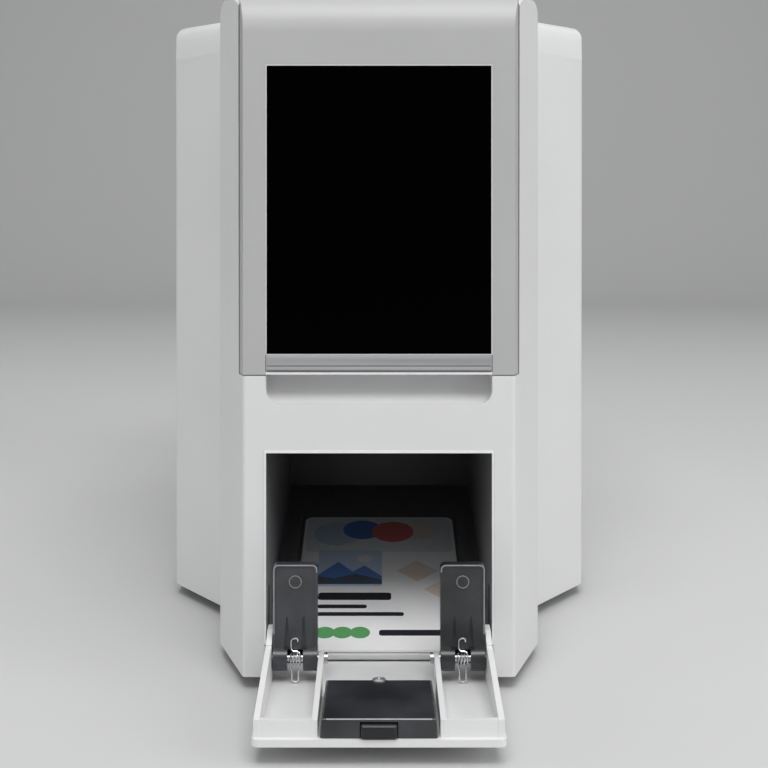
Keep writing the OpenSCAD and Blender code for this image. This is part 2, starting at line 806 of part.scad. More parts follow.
// Round wire swept along a path, as one closed tube
function ring(path_points, i, r, sides) = let (
    n = len(path_points),
    a = path_points[max(i - 1, 0)],
    b = path_points[min(i + 1, n - 1)],
    t = unit(b - a),
    side = unit(cross(t, abs(t[0]) > 0.9 ? [0, 0, 1] : [1, 0, 0])),
    up = cross(side, t)
) [for (k = [0 : sides - 1]) path_points[i] + r * (cos(360 * k / sides) * side + sin(360 * k / sides) * up)];

module wire(path_points, r, sides) {
    n = len(path_points);
    points = [for (i = [0 : n - 1]) each ring(path_points, i, r, sides)];
    skin = [for (i = [0 : n - 2], k = [0 : sides - 1]) let (
        a = i * sides + k, b = i * sides + (k + 1) % sides)
            each [[a, b, b + sides], [a, b + sides, a + sides]]];
    ends = [for (k = [1 : sides - 2]) each
        [[0, k + 1, k], [(n - 1) * sides, (n - 1) * sides + k, (n - 1) * sides + k + 1]]];
    polyhedron(points, concat(skin, ends), convexity = 6);
}

// Torsion spring on the stop pin: a U-shaped leg down to the floor of the door, the coil, and a leg
// that crosses over the coil and ends in a hook against the front of the stop
spring_x = spring_turns * spring_pitch / 2;
leg_w = door_t - stop_pin_w + spring_wire / 2 + 0.15;
leg_x = 1.9; // width of the U
hook_y = stop_t / 2 - stop_recess + spring_wire / 2 + 0.02;
hook_x = 1.2;
hook_top = 6.2;
spring_low = concat(
    [[leg_x - spring_x, spring_r, -2.7], [leg_x - spring_x, spring_r, leg_w + leg_x / 2]],
    [for (a = [-30 : -30 : -150]) [leg_x / 2 * (1 + cos(a)) - spring_x, spring_r,
        leg_w + leg_x / 2 * (1 + sin(a))]],
    [[-spring_x, spring_r, leg_w + leg_x / 2], [-spring_x, spring_r, -1.6]]
);
spring_coil = [for (i = [0 : spring_turns * spring_rings]) let (a = 360 * i / spring_rings)
    [i * spring_pitch / spring_rings - spring_x, spring_r * cos(a), spring_r * sin(a)]];
spring_high = [
    [spring_x, spring_r, 1.5], [spring_x - 0.3, spring_r, 2.3], [spring_x - 0.9, spring_r, 2.6],
    [0.7 - hook_x, spring_r, 2.6], [0.2 - hook_x, hook_y + 0.3, 2.9], [-hook_x, hook_y, 3.6],
    [-hook_x, hook_y, hook_top - 0.7], [0.3 - hook_x, hook_y, hook_top - 0.2],
        [0.8 - hook_x, hook_y, hook_top],
    [hook_x - 0.8, hook_y, hook_top], [hook_x - 0.5, hook_y, hook_top - 0.2],
        [hook_x - 0.4, hook_y, hook_top - 1]
];
spring_gap = min([for (i = [0 : len(spring_coil) - 1], j = [i + spring_rings / 2 : 1 : len(spring_coil) - 1])
    norm(spring_coil[j] - spring_coil[i])]) - spring_wire;
echo("least gap between turns of the stop spring", spring_gap);

module stop_spring() {
    translate([(stop_in + stop_out) / 2, stop_u, stop_pin_w])
        wire(concat(spring_low, spring_coil, spring_high), spring_wire / 2, spring_sides);
}

module left_stop_spring() {
    color("silver") on_door() stop_spring();
}

module right_stop_spring() {
    color("silver") on_door() mirror([1, 0, 0]) stop_spring();
}

module latch_housing() {
    half = latch_w / 2;
    color([0.2, 0.21, 0.22]) on_door() difference() {
        union() {
            intersection() {
                translate([0, 0, door_t]) linear_extrude(latch_top - door_t + 1)
                    rounded([[-half, latch_u0], [half, latch_u0], [half, latch_u1], [-half, latch_u1]],
                        [1.2, 1.2, 1.2, 1.2]);
                along_x(-far, far) rounded(
                    [[latch_u0, 0], [latch_u1, 0], [latch_u1, latch_top], [latch_u0, latch_top]],
                        [0, 0, 0.8, 0.8]);
                along_y(0, far) rounded([[-half, 0], [half, 0], [half - 0.6, latch_top],
                    [-half + 0.6, latch_top]], [0, 0, 0.8, 0.8]);
            }
            // boss under the head of the screw
            translate([0, screw_u, door_t]) cylinder(h = screw_seat - door_t, r = screw_r + 0.5);
        }
        // guide of the bolt
        box([-bolt_w / 2 - fit, latch_u1 - bolt_l - 1, door_t + 0.1],
            [bolt_w / 2 + fit, latch_u1 + 1, door_t + 4.3]);
        // seat of the screw
        translate([0, screw_u, screw_seat]) cylinder(h = 2, r = screw_r + fit);
        translate([0, screw_u, 0]) cylinder(h = latch_top, r = screw_core + fit);
    }
}

module latch_bolt() {
    u1 = latch_u1 + bolt_proud;
    color([0.13, 0.13, 0.14]) on_door() intersection() {
        translate([0, 0, door_t + 0.4]) linear_extrude(3.6) rounded([
            [-bolt_w / 2, u1 - bolt_l + 1], [bolt_w / 2, u1 - bolt_l + 1], [bolt_w / 2, u1],
                [-bolt_w / 2, u1]],
            [0, 0, 0.9, 0.9]);
        along_x(-far, far) rounded([
            [0, door_t], [u1, door_t], [u1, door_t + 4], [0, door_t + 4]], [0, 0, 1.2, 0]);
    }
}

module latch_screw() {
    color("silver") on_door() translate([0, screw_u, 0]) difference() {
        union() {
            translate([0, 0, screw_seat]) cylinder(h = 0.7, r = screw_r);
            translate([0, 0, screw_seat + 0.7]) intersection() {
                translate([0, 0, -3.4]) sphere(r = 3.88);
                cylinder(h = 1, r = screw_r);
            }
            translate([0, 0, 0.3]) cylinder(h = screw_seat, r = screw_core);
        }
        for (a = [0, 90]) rotate([0, 0, a]) box([-1.1, -0.25, screw_seat + 0.5], [1.1, 0.25, latch_top + 2]);
    }
}

// ---- frame and card drive ---------------------------------------------------

module frame_plate(side) {
    y0 = 14;
    y1 = rear_y - 20;
    step_z = z0 + 84;
    difference() {
        union() {
            along_x(frame_x, frame_x + frame_t2) rounded(
                [[y0, z0 + base_t], [y1, z0 + base_t], [y1, frame_z1], [96, frame_z1], [72, step_z],
                    [y0, step_z]],
                [0, 0, 8, 8, 8, 8]);
            for (y = [40, 250])
                box([frame_x + frame_t2 - eps, y, z0 + base_t],
                    [frame_x + frame_t2 + 6, y + 40, z0 + base_t + 2]);
        }
        for (y = [exit_y, platen_y, feed_y, pick_y]) rod(0, far, y, shaft_z, bushing_r);
        for (y = [exit_y, feed_y]) rod(0, far, y, upper_z, upper_shaft_d / 2 + run);
        for (y = [supply_y, takeup_y]) rod(0, far, y, spool_z, spool_shaft_r + run);
        box([0, platen_y - 2.2, path + 13.8], [far, platen_y + 2.2, path + 18.2 + head_lift + 1]);
        if (side > 0) rod(0, far, motor_y, motor_z, motor_collar_r);
        // lightening holes
        for (p = [[28, z0 + 16], [68, z0 + 16], [232, z0 + 112], [272, z0 + 112], [272, z0 + 12]])
            along_x(0, far) translate(p) rounded([[0, 0], [32, 0], [32, 32], [0, 32]], [6, 6, 6, 6]);
        for (p = tie_places) rod(0, far, p[0], p[1], tie_r);
    }
}

tie_r = 2;
tie_places = [[84, z0 + 92], [210, frame_z1 - 10], [304, z0 + 44], [124, z0 + 14]];

module left_frame_plate() {
    color("lightsteelblue") at_front() mirror([1, 0, 0]) frame_plate(-1);
}

module right_frame_plate() {
    color("lightsteelblue") at_front() frame_plate(1);
}

module frame_tie_rods() {
    color("silver") at_front() for (p = tie_places) union() {
        rod(-frame_x, frame_x, p[0], p[1], 3.5);
        rod(-frame_x - frame_t2 - 2, frame_x + frame_t2 + 2, p[0], p[1], tie_r);
    }
}

// Driven roller: rubber sleeve, shaft and belt pulley
module driven_roller(y, half) {
    rod(-half, half, y, shaft_z, roller_r - 0.1);
    rod(-frame_x - frame_t2 - 2, drive_end, y, shaft_z, shaft_d / 2);
    rod(pulley_x, pulley_x + pulley_w, y, shaft_z, pulley_r);
}

sleeve = card_w / 2 + 1;

module pick_roller() {
    color("darkslategray") at_front() driven_roller(pick_y, 16);
}

module feed_roller() {
    color("darkslategray") at_front() driven_roller(feed_y, sleeve);
}

module platen_roller() {
    color("darkslategray") at_front() driven_roller(platen_y, sleeve);
}

module exit_roller() {
    color("darkslategray") at_front() driven_roller(exit_y, sleeve);
}

module upper_roller(y) {
    rod(-sleeve, sleeve, y, upper_z, upper_r - 0.1);
    rod(-frame_x - frame_t2 - 1, frame_x + frame_t2 + 1, y, upper_z, upper_shaft_d / 2);
}

module upper_feed_roller() {
    color("gray") at_front() upper_roller(feed_y);
}

module upper_exit_roller() {
    color("gray") at_front() upper_roller(exit_y);
}

module shaft_bushings() {
    color("goldenrod") at_front() both_sides() for (y = [exit_y, platen_y, feed_y, pick_y]) difference() {
        union() {
            rod(frame_x, frame_x + frame_t2, y, shaft_z, bushing_r);
            rod(frame_x - 1, frame_x, y, shaft_z, bushing_r + 1);
        }
        rod(0, far, y, shaft_z, shaft_d / 2 + run);
    }
}

module belt_outline(r) {
    hull() {
        translate([exit_y, shaft_z]) circle(r, $fn = 32);
        translate([pick_y, shaft_z]) circle(r, $fn = 32);
        translate([motor_y, motor_z]) circle(r, $fn = 32);
    }
}

module drive_belt() {
    color("black") at_front() along_x(pulley_x + 0.5, pulley_x + pulley_w - 0.5) difference() {
        belt_outline(pulley_r + belt_gap + belt_t);
        belt_outline(pulley_r + belt_gap);
    }
}

module stepper_motor() {
    color("slategray") at_front() difference() {
        union() {
            intersection() {
                box([frame_x - motor_l, motor_y - motor_w / 2, motor_z - motor_w / 2],
                    [frame_x, motor_y + motor_w / 2, motor_z + motor_w / 2]);
                translate([0, motor_y, motor_z]) rotate([45, 0, 0])
                    cube([2 * far, motor_w * 1.28, motor_w * 1.28], center = true);
            }
            rod(frame_x, frame_x + frame_t2, motor_y, motor_z, motor_collar_r - fit);
        }
        rod(frame_x - motor_l + 2, far, motor_y, motor_z, motor_shaft_r + run);
    }
}

module motor_pulley() {
    color("silver") at_front() union() {
        rod(frame_x - motor_l + 2.2, drive_end, motor_y, motor_z, motor_shaft_r);
        rod(pulley_x, pulley_x + pulley_w, motor_y, motor_z, pulley_r);
    }
}

// ---- print head and ribbon --------------------------------------------------

head_y0 = platen_y - 9;
head_y1 = platen_y + 9;
head_gap = card_t / 2 + 0.9;

module print_head() {
    half = film_w / 2;
    color("slategray") at_front() union() {
        box([-half, platen_y - 3, path + head_gap], [half, platen_y + 3, path + head_gap + 3]);
        box([-half - 2, head_y0, path + head_gap + 3], [half + 2, head_y1, path + 12]);
        for (i = [0 : 4]) box([-half - 2, head_y0 + i * 4, path + 12 - eps],
            [half + 2, head_y0 + i * 4 + 2, path + 26]);
        box([-half - 8, platen_y - 5, path + 9], [half + 8, platen_y + 5, path + 19]);
        rod(-frame_x - frame_t2, frame_x + frame_t2, platen_y, path + 16, 2);
    }
}

// Cross beam above the print head with its two guide pillars
module head_guide() {
    z = path + 27 + head_lift + 2;
    color("lightsteelblue") at_front() union() {
        box([-frame_x, platen_y - 8, z], [frame_x, platen_y + 8, z + 2]);
        both_sides() box([frame_x - 2, platen_y - 8, z + 2 - eps], [frame_x, platen_y + 8, z + 12]);
    }
}

module spool(y, film_r) {
    rod(-film_w / 2, film_w / 2, y, spool_z, film_r);
    both_sides() rod(film_w / 2, film_w / 2 + 1.5, y, spool_z, spool_core_r + 4);
    rod(-frame_x - frame_t2 - 1, frame_x + frame_t2 + 1, y, spool_z, spool_shaft_r);
}

module supply_spool() {
    color([0.2, 0.2, 0.22]) at_front() spool(supply_y, ribbon_r);
}

module takeup_spool() {
    color([0.2, 0.2, 0.22]) at_front() spool(takeup_y, takeup_r);
}

module ribbon_film() {
    z = path + card_t / 2 + 0.4;
    color([0.1, 0.1, 0.12]) at_front() along_x(-film_w / 2 + 1, film_w / 2 - 1) polygon([
        [takeup_y, spool_z - takeup_r - 0.4 - film_t], [platen_y - 14, z + 6], [platen_y - 5, z],
            [platen_y + 5, z],
        [platen_y + 14, z + 6], [supply_y - 2, spool_z - ribbon_r - 0.4 - film_t],
        [supply_y - 2, spool_z - ribbon_r - 0.4], [platen_y + 13.7, z + 6.3], [platen_y + 4.9, z + film_t],
        [platen_y - 4.9, z + film_t], [platen_y - 13.7, z + 6.3], [takeup_y, spool_z - takeup_r - 0.4]
    ]);
}

// ---- electronics and rear fittings ------------------------------------------

board_y = 150;
board_l = 150;
board_z = z0 + 20;
board_h = 90;
board_t = 1.6;
board_gap = 6; // length of the posts that carry the board

// Circuit board on posts beside the left frame plate, with chips, connectors and capacitors
module main_board() {
    x = -frame_x - frame_t2 - board_gap;
    face = x - board_t;
    y1 = board_y + board_l;
    z1 = board_z + board_h;
    color("seagreen") at_front() union() {
        box([face, board_y, board_z], [x, y1, z1]);
        for (y = [board_y + 8, y1 - 8], z = [board_z + 8, z1 - 8]) rod(x, x + board_gap, y, z, 3);
        box([face - 4, board_y + 30, board_z + 30], [face, board_y + 55, board_z + 55]);
        box([face - 2.4, board_y + 65, board_z + 32], [face, board_y + 83, board_z + 46]);
        for (i = [0 : 3]) box([face - 8, board_y + 10 + i * 20, z1 - 18],
            [face, board_y + 22 + i * 20, z1 - 10]);
        for (i = [0 : 2]) rod(face - 11, face, board_y + 95 + i * 14, board_z + 40, 5);
    }
}

supply_y0 = 190;
supply_l = 110;
supply_h = 59;

module power_supply() {
    x0 = frame_x + frame_t2 + 11;
    color("silver") at_front() difference() {
        box([x0, supply_y0, z0 + base_t], [body_w / 2 - wall - 3, supply_y0 + supply_l,
            z0 + base_t + supply_h]);
        for (i = [0 : 9]) box([x0 - 1, supply_y0 + 8 + i * 10, z0 + 14],
            [x0 + 2, supply_y0 + 12 + i * 10, z0 + supply_h - 5]);
    }
}

module power_inlet() {
    w = inlet_w / 2;
    h = inlet_h / 2;
    color([0.1, 0.1, 0.1]) at_front() difference() {
        along_y(rear_y - 18, body_d) polygon([
            [inlet_x - w, inlet_z - h], [inlet_x + w, inlet_z - h], [inlet_x + w, inlet_z + h],
                [inlet_x - w, inlet_z + h]]);
        along_y(rear_y - 14, body_d + 1) polygon([
            [inlet_x - w + 2, inlet_z - h + 2], [inlet_x + w - 2, inlet_z - h + 2],
            [inlet_x + w - 2, inlet_z + h - 6], [inlet_x + w - 6, inlet_z + h - 2],
            [inlet_x - w + 6, inlet_z + h - 2], [inlet_x - w + 2, inlet_z + h - 6]]);
    }
}

rocker_r = 11;

// Rocker that turns about x in the switch opening
module power_switch() {
    color([0.12, 0.12, 0.12]) at_front() intersection() {
        rod(inlet_x - 6.6, inlet_x + 6.6, rear_y - 8, switch_z, rocker_r - 0.5);
        box([0, rear_y - 8, switch_z - 8.4], [far, body_d - 0.4, switch_z + 8.4]);
    }
}

module usb_socket() {
    color("silver") at_front() difference() {
        box([usb_x - 6, rear_y - 14, usb_z - 5.4], [usb_x + 6, body_d, usb_z + 5.4]);
        box([usb_x - 4.6, rear_y - 6, usb_z - 4], [usb_x + 4.6, body_d + 1, usb_z + 4]);
    }
}

module fan_frame() {
    y1 = rear_y;
    y0 = y1 - fan_d;
    color([0.15, 0.15, 0.15]) at_front() union() {
        difference() {
            box([-fan_w / 2, y0, fan_z - fan_w / 2], [fan_w / 2, y1, fan_z + fan_w / 2]);
            along_y(y0 - 1, y1 + 1) translate([0, fan_z]) circle(fan_w / 2 - 1.5);
            for (x = [-16, 16], z = [-16, 16]) along_y(y0 - 1, y1 + 1) translate([x, fan_z + z]) circle(1.7);
        }
        for (a = [45 : 90 : 315]) along_y(y0, y0 + 1.5) translate([0, fan_z]) rotate(a) translate([-1, 4])
            square([2, fan_w / 2 - 5]);
        along_y(y0, y0 + 2) translate([0, fan_z]) circle(6);
        along_y(y0 + 2 - eps, y0 + 6) translate([0, fan_z]) circle(1.2);
    }
}

module fan_rotor() {
    y0 = rear_y - fan_d + 2.4;
    color([0.2, 0.2, 0.2]) at_front() translate([0, y0, fan_z]) difference() {
        union() {
            rotate([-90, 0, 0]) cylinder(h = 6.6, r = 8);
            for (a = [0 : 360 / 7 : 359]) rotate([0, a, 0]) translate([7, 3.2, 0]) rotate([32, 0, 0])
                box([0, -0.5, -3.2], [9.6, 0.5, 3.2]);
        }
        translate([0, -1, 0]) rotate([-90, 0, 0]) cylinder(h = 5.6, r = 1.2 + run);
    }
}

module cover_screws() {
    color("silver") at_front() {
        both_sides() for (z = side_screw_z) union() {
            rod(body_w / 2 - side_screw_r, body_w / 2 - fit, side_screw_y, z, screw_head_r);
            rod(body_w / 2 - 8, body_w / 2 - side_screw_r, side_screw_y, z, side_screw_r);
        }
        for (p = rear_screws) along_y(rear_y - 5, body_d) translate(p) circle(side_screw_r);
    }
}

base_plate();
rubber_feet();
front_shell();
left_side_cover();
right_side_cover();
top_cover();
rear_panel();
hood();
hood_hinge_pins();
display_glass();
trim_bar();
hopper_lid();
lid_hinge_pin();
input_hopper();
blank_cards();
card_weight();
output_tray();
tray_lip();
printed_card();
output_door();
door_hinge_pins();
stop_pins();
left_card_stop();
right_card_stop();
left_stop_spring();
right_stop_spring();
latch_housing();
latch_bolt();
latch_screw();
left_frame_plate();
right_frame_plate();
frame_tie_rods();
pick_roller();
feed_roller();
platen_roller();
exit_roller();
upper_feed_roller();
upper_exit_roller();
shaft_bushings();
drive_belt();
stepper_motor();
motor_pulley();
print_head();
head_guide();
supply_spool();
takeup_spool();
ribbon_film();
main_board();
power_supply();
power_inlet();
power_switch();
usb_socket();
fan_frame();
fan_rotor();
cover_screws();
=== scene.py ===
import bpy, bmesh, math
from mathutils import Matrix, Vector


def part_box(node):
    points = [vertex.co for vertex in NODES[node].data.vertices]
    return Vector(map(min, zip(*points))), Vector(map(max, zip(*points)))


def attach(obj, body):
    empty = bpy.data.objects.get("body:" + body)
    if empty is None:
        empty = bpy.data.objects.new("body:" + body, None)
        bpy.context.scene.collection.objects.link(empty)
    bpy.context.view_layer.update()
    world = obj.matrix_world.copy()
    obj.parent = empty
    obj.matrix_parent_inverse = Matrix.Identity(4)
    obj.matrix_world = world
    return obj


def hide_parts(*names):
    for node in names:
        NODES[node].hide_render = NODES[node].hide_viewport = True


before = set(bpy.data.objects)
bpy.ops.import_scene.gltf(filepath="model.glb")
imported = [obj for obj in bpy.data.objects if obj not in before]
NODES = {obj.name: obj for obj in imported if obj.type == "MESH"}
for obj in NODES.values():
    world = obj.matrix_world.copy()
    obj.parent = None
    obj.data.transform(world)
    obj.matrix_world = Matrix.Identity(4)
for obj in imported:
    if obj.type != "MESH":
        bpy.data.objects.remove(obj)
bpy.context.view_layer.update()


scene = bpy.context.scene

# ---- places from the CAD, in metres ----
MM = 0.001
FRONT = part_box("front_shell")[0][1]
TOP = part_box("front_shell")[1][2]

# ---- camera: level, on the printer's middle plane, its distance counted from the front face ----
PHOTO_PX = 768
FOCAL_PX = 1272
HORIZON_PX = 220
MIDDLE_PX = 379
SENSOR_MM = 36
CAMERA_AWAY = 0.386
CAMERA_HIGH = 0.1427
cam_data = bpy.data.cameras.new("camera")
cam = bpy.data.objects.new("camera", cam_data)
scene.collection.objects.link(cam)
cam_data.sensor_width = SENSOR_MM
cam_data.lens = FOCAL_PX / PHOTO_PX * SENSOR_MM
cam_data.shift_x = (PHOTO_PX / 2 - MIDDLE_PX) / PHOTO_PX
cam_data.shift_y = (HORIZON_PX - PHOTO_PX / 2) / PHOTO_PX
cam.location = (0, FRONT - CAMERA_AWAY, CAMERA_HIGH)
cam.rotation_euler = (math.pi / 2, 0, 0)
scene.camera = cam

scene.view_settings.view_transform = "Standard"


# ---- materials ----
RAMP_LOW = 0.3
RAMP_HIGH = 0.7


def nodes_of(name):
    m = bpy.data.materials.new(name)
    m.use_nodes = True
    nt = m.node_tree
    return m, nt, nt.nodes["Principled BSDF"]


def add(nt, kind, **values):
    """A new shader node: each value goes to the input of that name, or else to the node's own setting."""
    n = nt.nodes.new(kind)
    for k, v in values.items():
        if k in n.inputs:
            n.inputs[k].default_value = v
        else:
            setattr(n, k, v)
    return n


def shade(c, k):
    return (min(c[0] * k, 1), min(c[1] * k, 1), min(c[2] * k, 1), 1)


def material(name, color, rough, spread=0.05, mottle=(40, 0.03), grain=(2600, 0.25, 0.00003),
             stretch=(1, 1, 1), metallic=0.0, coat=0.0, specular=0.5):
    """Noise drives colour, roughness and bump.

    mottle is (scale, depth), grain is (scale, strength, distance)."""
    m, nt, b = nodes_of(name)
    at = add(nt, "ShaderNodeTexCoord")
    mp = add(nt, "ShaderNodeMapping", Scale=stretch)
    nt.links.new(at.outputs["Object"], mp.inputs["Vector"])
    cloud = add(nt, "ShaderNodeTexNoise", Scale=mottle[0], Detail=4)
    nt.links.new(mp.outputs["Vector"], cloud.inputs["Vector"])
    ramp = add(nt, "ShaderNodeValToRGB")
    dark, light = ramp.color_ramp.elements
    dark.position = RAMP_LOW
    light.position = RAMP_HIGH
    dark.color = shade(color, 1 - mottle[1])
    light.color = shade(color, 1 + mottle[1])
    nt.links.new(cloud.outputs["Fac"], ramp.inputs["Fac"])
    nt.links.new(ramp.outputs["Color"], b.inputs["Base Color"])
    fine = add(nt, "ShaderNodeTexNoise", Scale=grain[0], Detail=2)
    nt.links.new(mp.outputs["Vector"], fine.inputs["Vector"])
    span = add(nt, "ShaderNodeMapRange")
    span.inputs["To Min"].default_value = rough - spread
    span.inputs["To Max"].default_value = rough + spread
    nt.links.new(cloud.outputs["Fac"], span.inputs["Value"])
    nt.links.new(span.outputs["Result"], b.inputs["Roughness"])
    bump = add(nt, "ShaderNodeBump", Strength=grain[1], Distance=grain[2])
    nt.links.new(fine.outputs["Fac"], bump.inputs["Height"])
    nt.links.new(bump.outputs["Normal"], b.inputs["Normal"])
    b.inputs["Metallic"].default_value = metallic
    b.inputs["Coat Weight"].default_value = coat
    b.inputs["Specular IOR Level"].default_value = specular
    return m


FINE = (1500, 0.15, 0.00001)
FAINT = (1500, 0.1, 0.00001)
SHELL = material("shell_white", (0.72, 0.72, 0.718), 0.42, mottle=(30, 0.012))
DOOR = material("door_white", (0.77, 0.77, 0.768), 0.38, mottle=(40, 0.012))
HOOD = material("hood_grey", (0.45, 0.45, 0.45), 0.34, mottle=(25, 0.02), grain=(3200, 0.15, 0.00002))
GLASS = material("panel_black", (0.0004, 0.0004, 0.0005), 0.12, spread=0.03, mottle=(8, 0.2),
                 grain=(60, 0.02, 0.00005), specular=0.01)
TRIM = material("trim_brushed", (0.52, 0.52, 0.53), 0.46, spread=0.1, mottle=(300, 0.16),
                grain=(1500, 0.35, 0.00005), stretch=(0.02, 1, 1), metallic=0.9)
TRAY = material("tray_dark", (0.050, 0.051, 0.054), 0.36, mottle=(60, 0.15), grain=(1800, 0.3, 0.00004))
BLACK = material("stop_black", (0.034, 0.036, 0.040), 0.16, mottle=(55, 0.5), grain=(2400, 0.3, 0.00003))
# painted highlight for the edges of the output opening and of the hood's lower lip
LIP_HIGHLIGHT = material("lip_highlight", (0.86, 0.86, 0.86), 0.35, mottle=(300, 0.03), grain=FINE)
# painted highlight for the edge round the black window
RIM_HIGHLIGHT = material("window_rim_highlight", (0.62, 0.62, 0.62), 0.35, mottle=(300, 0.05), grain=FINE)
TAB = material("tab_black", (0.008, 0.008, 0.009), 0.30, mottle=(80, 0.15), grain=(2400, 0.3, 0.00003))
SCREW = material("screw_bright", (0.86, 0.86, 0.86), 0.42, spread=0.06, mottle=(400, 0.06), grain=FINE,
                 metallic=1.0)
GREY = material("moulded_grey", (0.10, 0.10, 0.105), 0.45, mottle=(60, 0.1), grain=(2000, 0.3, 0.00004))
RUBBER = material("rubber", (0.022, 0.022, 0.022), 0.75, mottle=(120, 0.25), grain=(1400, 0.5, 0.00006),
                  specular=0.3)
STEEL = material("steel_turned", (0.56, 0.56, 0.57), 0.26, spread=0.1, mottle=(200, 0.1),
                 grain=(900, 0.25, 0.00003), stretch=(6, 1, 1), metallic=1.0)
ZINC = material("zinc_plate", (0.50, 0.52, 0.54), 0.38, spread=0.1, mottle=(90, 0.14),
                grain=(1200, 0.2, 0.00003), metallic=1.0)
ALLOY = material("cast_alloy", (0.36, 0.36, 0.37), 0.5, spread=0.1, mottle=(150, 0.12),
                 grain=(1600, 0.5, 0.00005), metallic=1.0)
BRONZE = material("bronze", (0.52, 0.34, 0.14), 0.42, spread=0.1, mottle=(300, 0.18),
                  grain=(2600, 0.4, 0.00004), metallic=1.0)
CARD = material("card_white", (0.95, 0.95, 0.945), 0.22, spread=0.04, mottle=(120, 0.015),
                grain=(400, 0.05, 0.00002), coat=0.3)
BLANK = material("card_blank", (0.80, 0.80, 0.80), 0.25, spread=0.04, mottle=(60, 0.02),
                 grain=(300, 0.05, 0.00002), coat=0.2)
RIBBON = material("ribbon_film", (0.012, 0.012, 0.014), 0.22, spread=0.06, mottle=(200, 0.3),
                  grain=(500, 0.15, 0.00002), stretch=(0.1, 1, 1))
BOARD = material("solder_mask", (0.012, 0.10, 0.035), 0.35, mottle=(300, 0.25),
                 grain=(900, 0.3, 0.00004), coat=0.2)
WIRE = material("spring_wire", (0.78, 0.78, 0.79), 0.16, spread=0.04, mottle=(300, 0.05),
                grain=(900, 0.05, 0.00001), metallic=1.0)
# the mark's lighter grey and the stop edge's light grey are painted highlights on the black stops
MARK_HIGHLIGHT = material("stop_mark_with_highlight", (0.22, 0.225, 0.23), 0.2, mottle=(300, 0.1), grain=FAINT)
EDGE_HIGHLIGHT = material("stop_edge_highlight", (0.27, 0.28, 0.29), 0.22, mottle=(300, 0.1), grain=FAINT)
# painted shade for the dark lines across the trim bar and at its foot
SHADE = material("trim_shade", (0.16, 0.16, 0.165), 0.4, mottle=(300, 0.1), grain=FINE, metallic=0.6)
# painted highlight for the front top edge of the black latch box
LINE_HIGHLIGHT = material("latch_edge_highlight", (0.45, 0.45, 0.46), 0.25, mottle=(300, 0.1), grain=FAINT)

# Painted shade and painted sheen of the tray, chosen by the way each face looks.
TRAY_PAINTED_SHADE = 0.012
TRAY_PAINTED_SHEEN = 0.34
TRAY_SHEEN_TINT = 1.04
TRAY_SHEEN_AT = 0.9


def tray_painted_shade_and_sheen(m):
    """Painted light on the tray: the faces that look forwards are painted near black as shade, and the walls
    and floor are painted lighter and cloudy as a sheen of reflected light.
    """
    nt = m.node_tree
    b = nt.nodes["Principled BSDF"]
    geo = add(nt, "ShaderNodeNewGeometry")
    xyz = add(nt, "ShaderNodeSeparateXYZ")
    nt.links.new(geo.outputs["Normal"], xyz.inputs["Vector"])
    back = add(nt, "ShaderNodeMath", operation="ABSOLUTE")
    nt.links.new(xyz.outputs["Y"], back.inputs[0])
    rest = add(nt, "ShaderNodeMath", operation="SUBTRACT")
    rest.inputs[0].default_value = 1.0
    nt.links.new(back.outputs[0], rest.inputs[1])
    cloud = add(nt, "ShaderNodeTexNoise", Scale=160, Detail=5)
    blend = add(nt, "ShaderNodeMath", operation="MULTIPLY")
    nt.links.new(rest.outputs[0], blend.inputs[0])
    nt.links.new(cloud.outputs["Fac"], blend.inputs[1])
    ramp = add(nt, "ShaderNodeValToRGB")
    dark, light = ramp.color_ramp.elements
    dark.color = (TRAY_PAINTED_SHADE, TRAY_PAINTED_SHADE, TRAY_PAINTED_SHADE, 1)
    light.color = (TRAY_PAINTED_SHEEN, TRAY_PAINTED_SHEEN, TRAY_PAINTED_SHEEN * TRAY_SHEEN_TINT, 1)
    light.position = TRAY_SHEEN_AT
    nt.links.new(blend.outputs[0], ramp.inputs["Fac"])
    nt.links.new(ramp.outputs["Color"], b.inputs["Base Color"])


# the tray's colour becomes painted shade and sheen by facing, over one dark plastic
tray_painted_shade_and_sheen(TRAY)

LOOKS = {
    "base_plate": ZINC, "rubber_feet": RUBBER, "front_shell": SHELL, "left_side_cover": SHELL,
    "right_side_cover": SHELL, "top_cover": SHELL, "rear_panel": SHELL, "hood": HOOD,
    "hood_hinge_pins": STEEL, "display_glass": GLASS, "trim_bar": TRIM, "hopper_lid": SHELL,
    "lid_hinge_pin": STEEL, "input_hopper": GREY, "blank_cards": BLANK, "card_weight": GREY,
    "output_tray": TRAY, "tray_lip": DOOR, "printed_card": CARD, "output_door": DOOR,
    "door_hinge_pins": STEEL, "stop_pins": STEEL, "left_card_stop": BLACK, "right_card_stop": BLACK,
    "left_stop_spring": STEEL, "right_stop_spring": STEEL, "latch_housing": BLACK, "latch_bolt": TAB,
    "latch_screw": SCREW, "left_frame_plate": ZINC, "right_frame_plate": ZINC, "frame_tie_rods": STEEL,
    "pick_roller": RUBBER, "feed_roller": RUBBER, "platen_roller": RUBBER, "exit_roller": RUBBER,
    "upper_feed_roller": STEEL, "upper_exit_roller": STEEL, "shaft_bushings": BRONZE, "drive_belt": RUBBER,
    "stepper_motor": ALLOY, "motor_pulley": STEEL, "print_head": ALLOY, "head_guide": ZINC,
    "supply_spool": RIBBON, "takeup_spool": RIBBON, "ribbon_film": RIBBON, "main_board": BOARD,
    "power_supply": ZINC, "power_inlet": BLACK, "power_switch": BLACK, "usb_socket": STEEL,
    "fan_frame": BLACK, "fan_rotor": BLACK, "cover_screws": STEEL,
}
for name, look in LOOKS.items():
    mesh = NODES[name].data
    if not mesh.materials:
        mesh.materials.append(look)
    for i in range(len(mesh.materials)):
        mesh.materials[i] = look

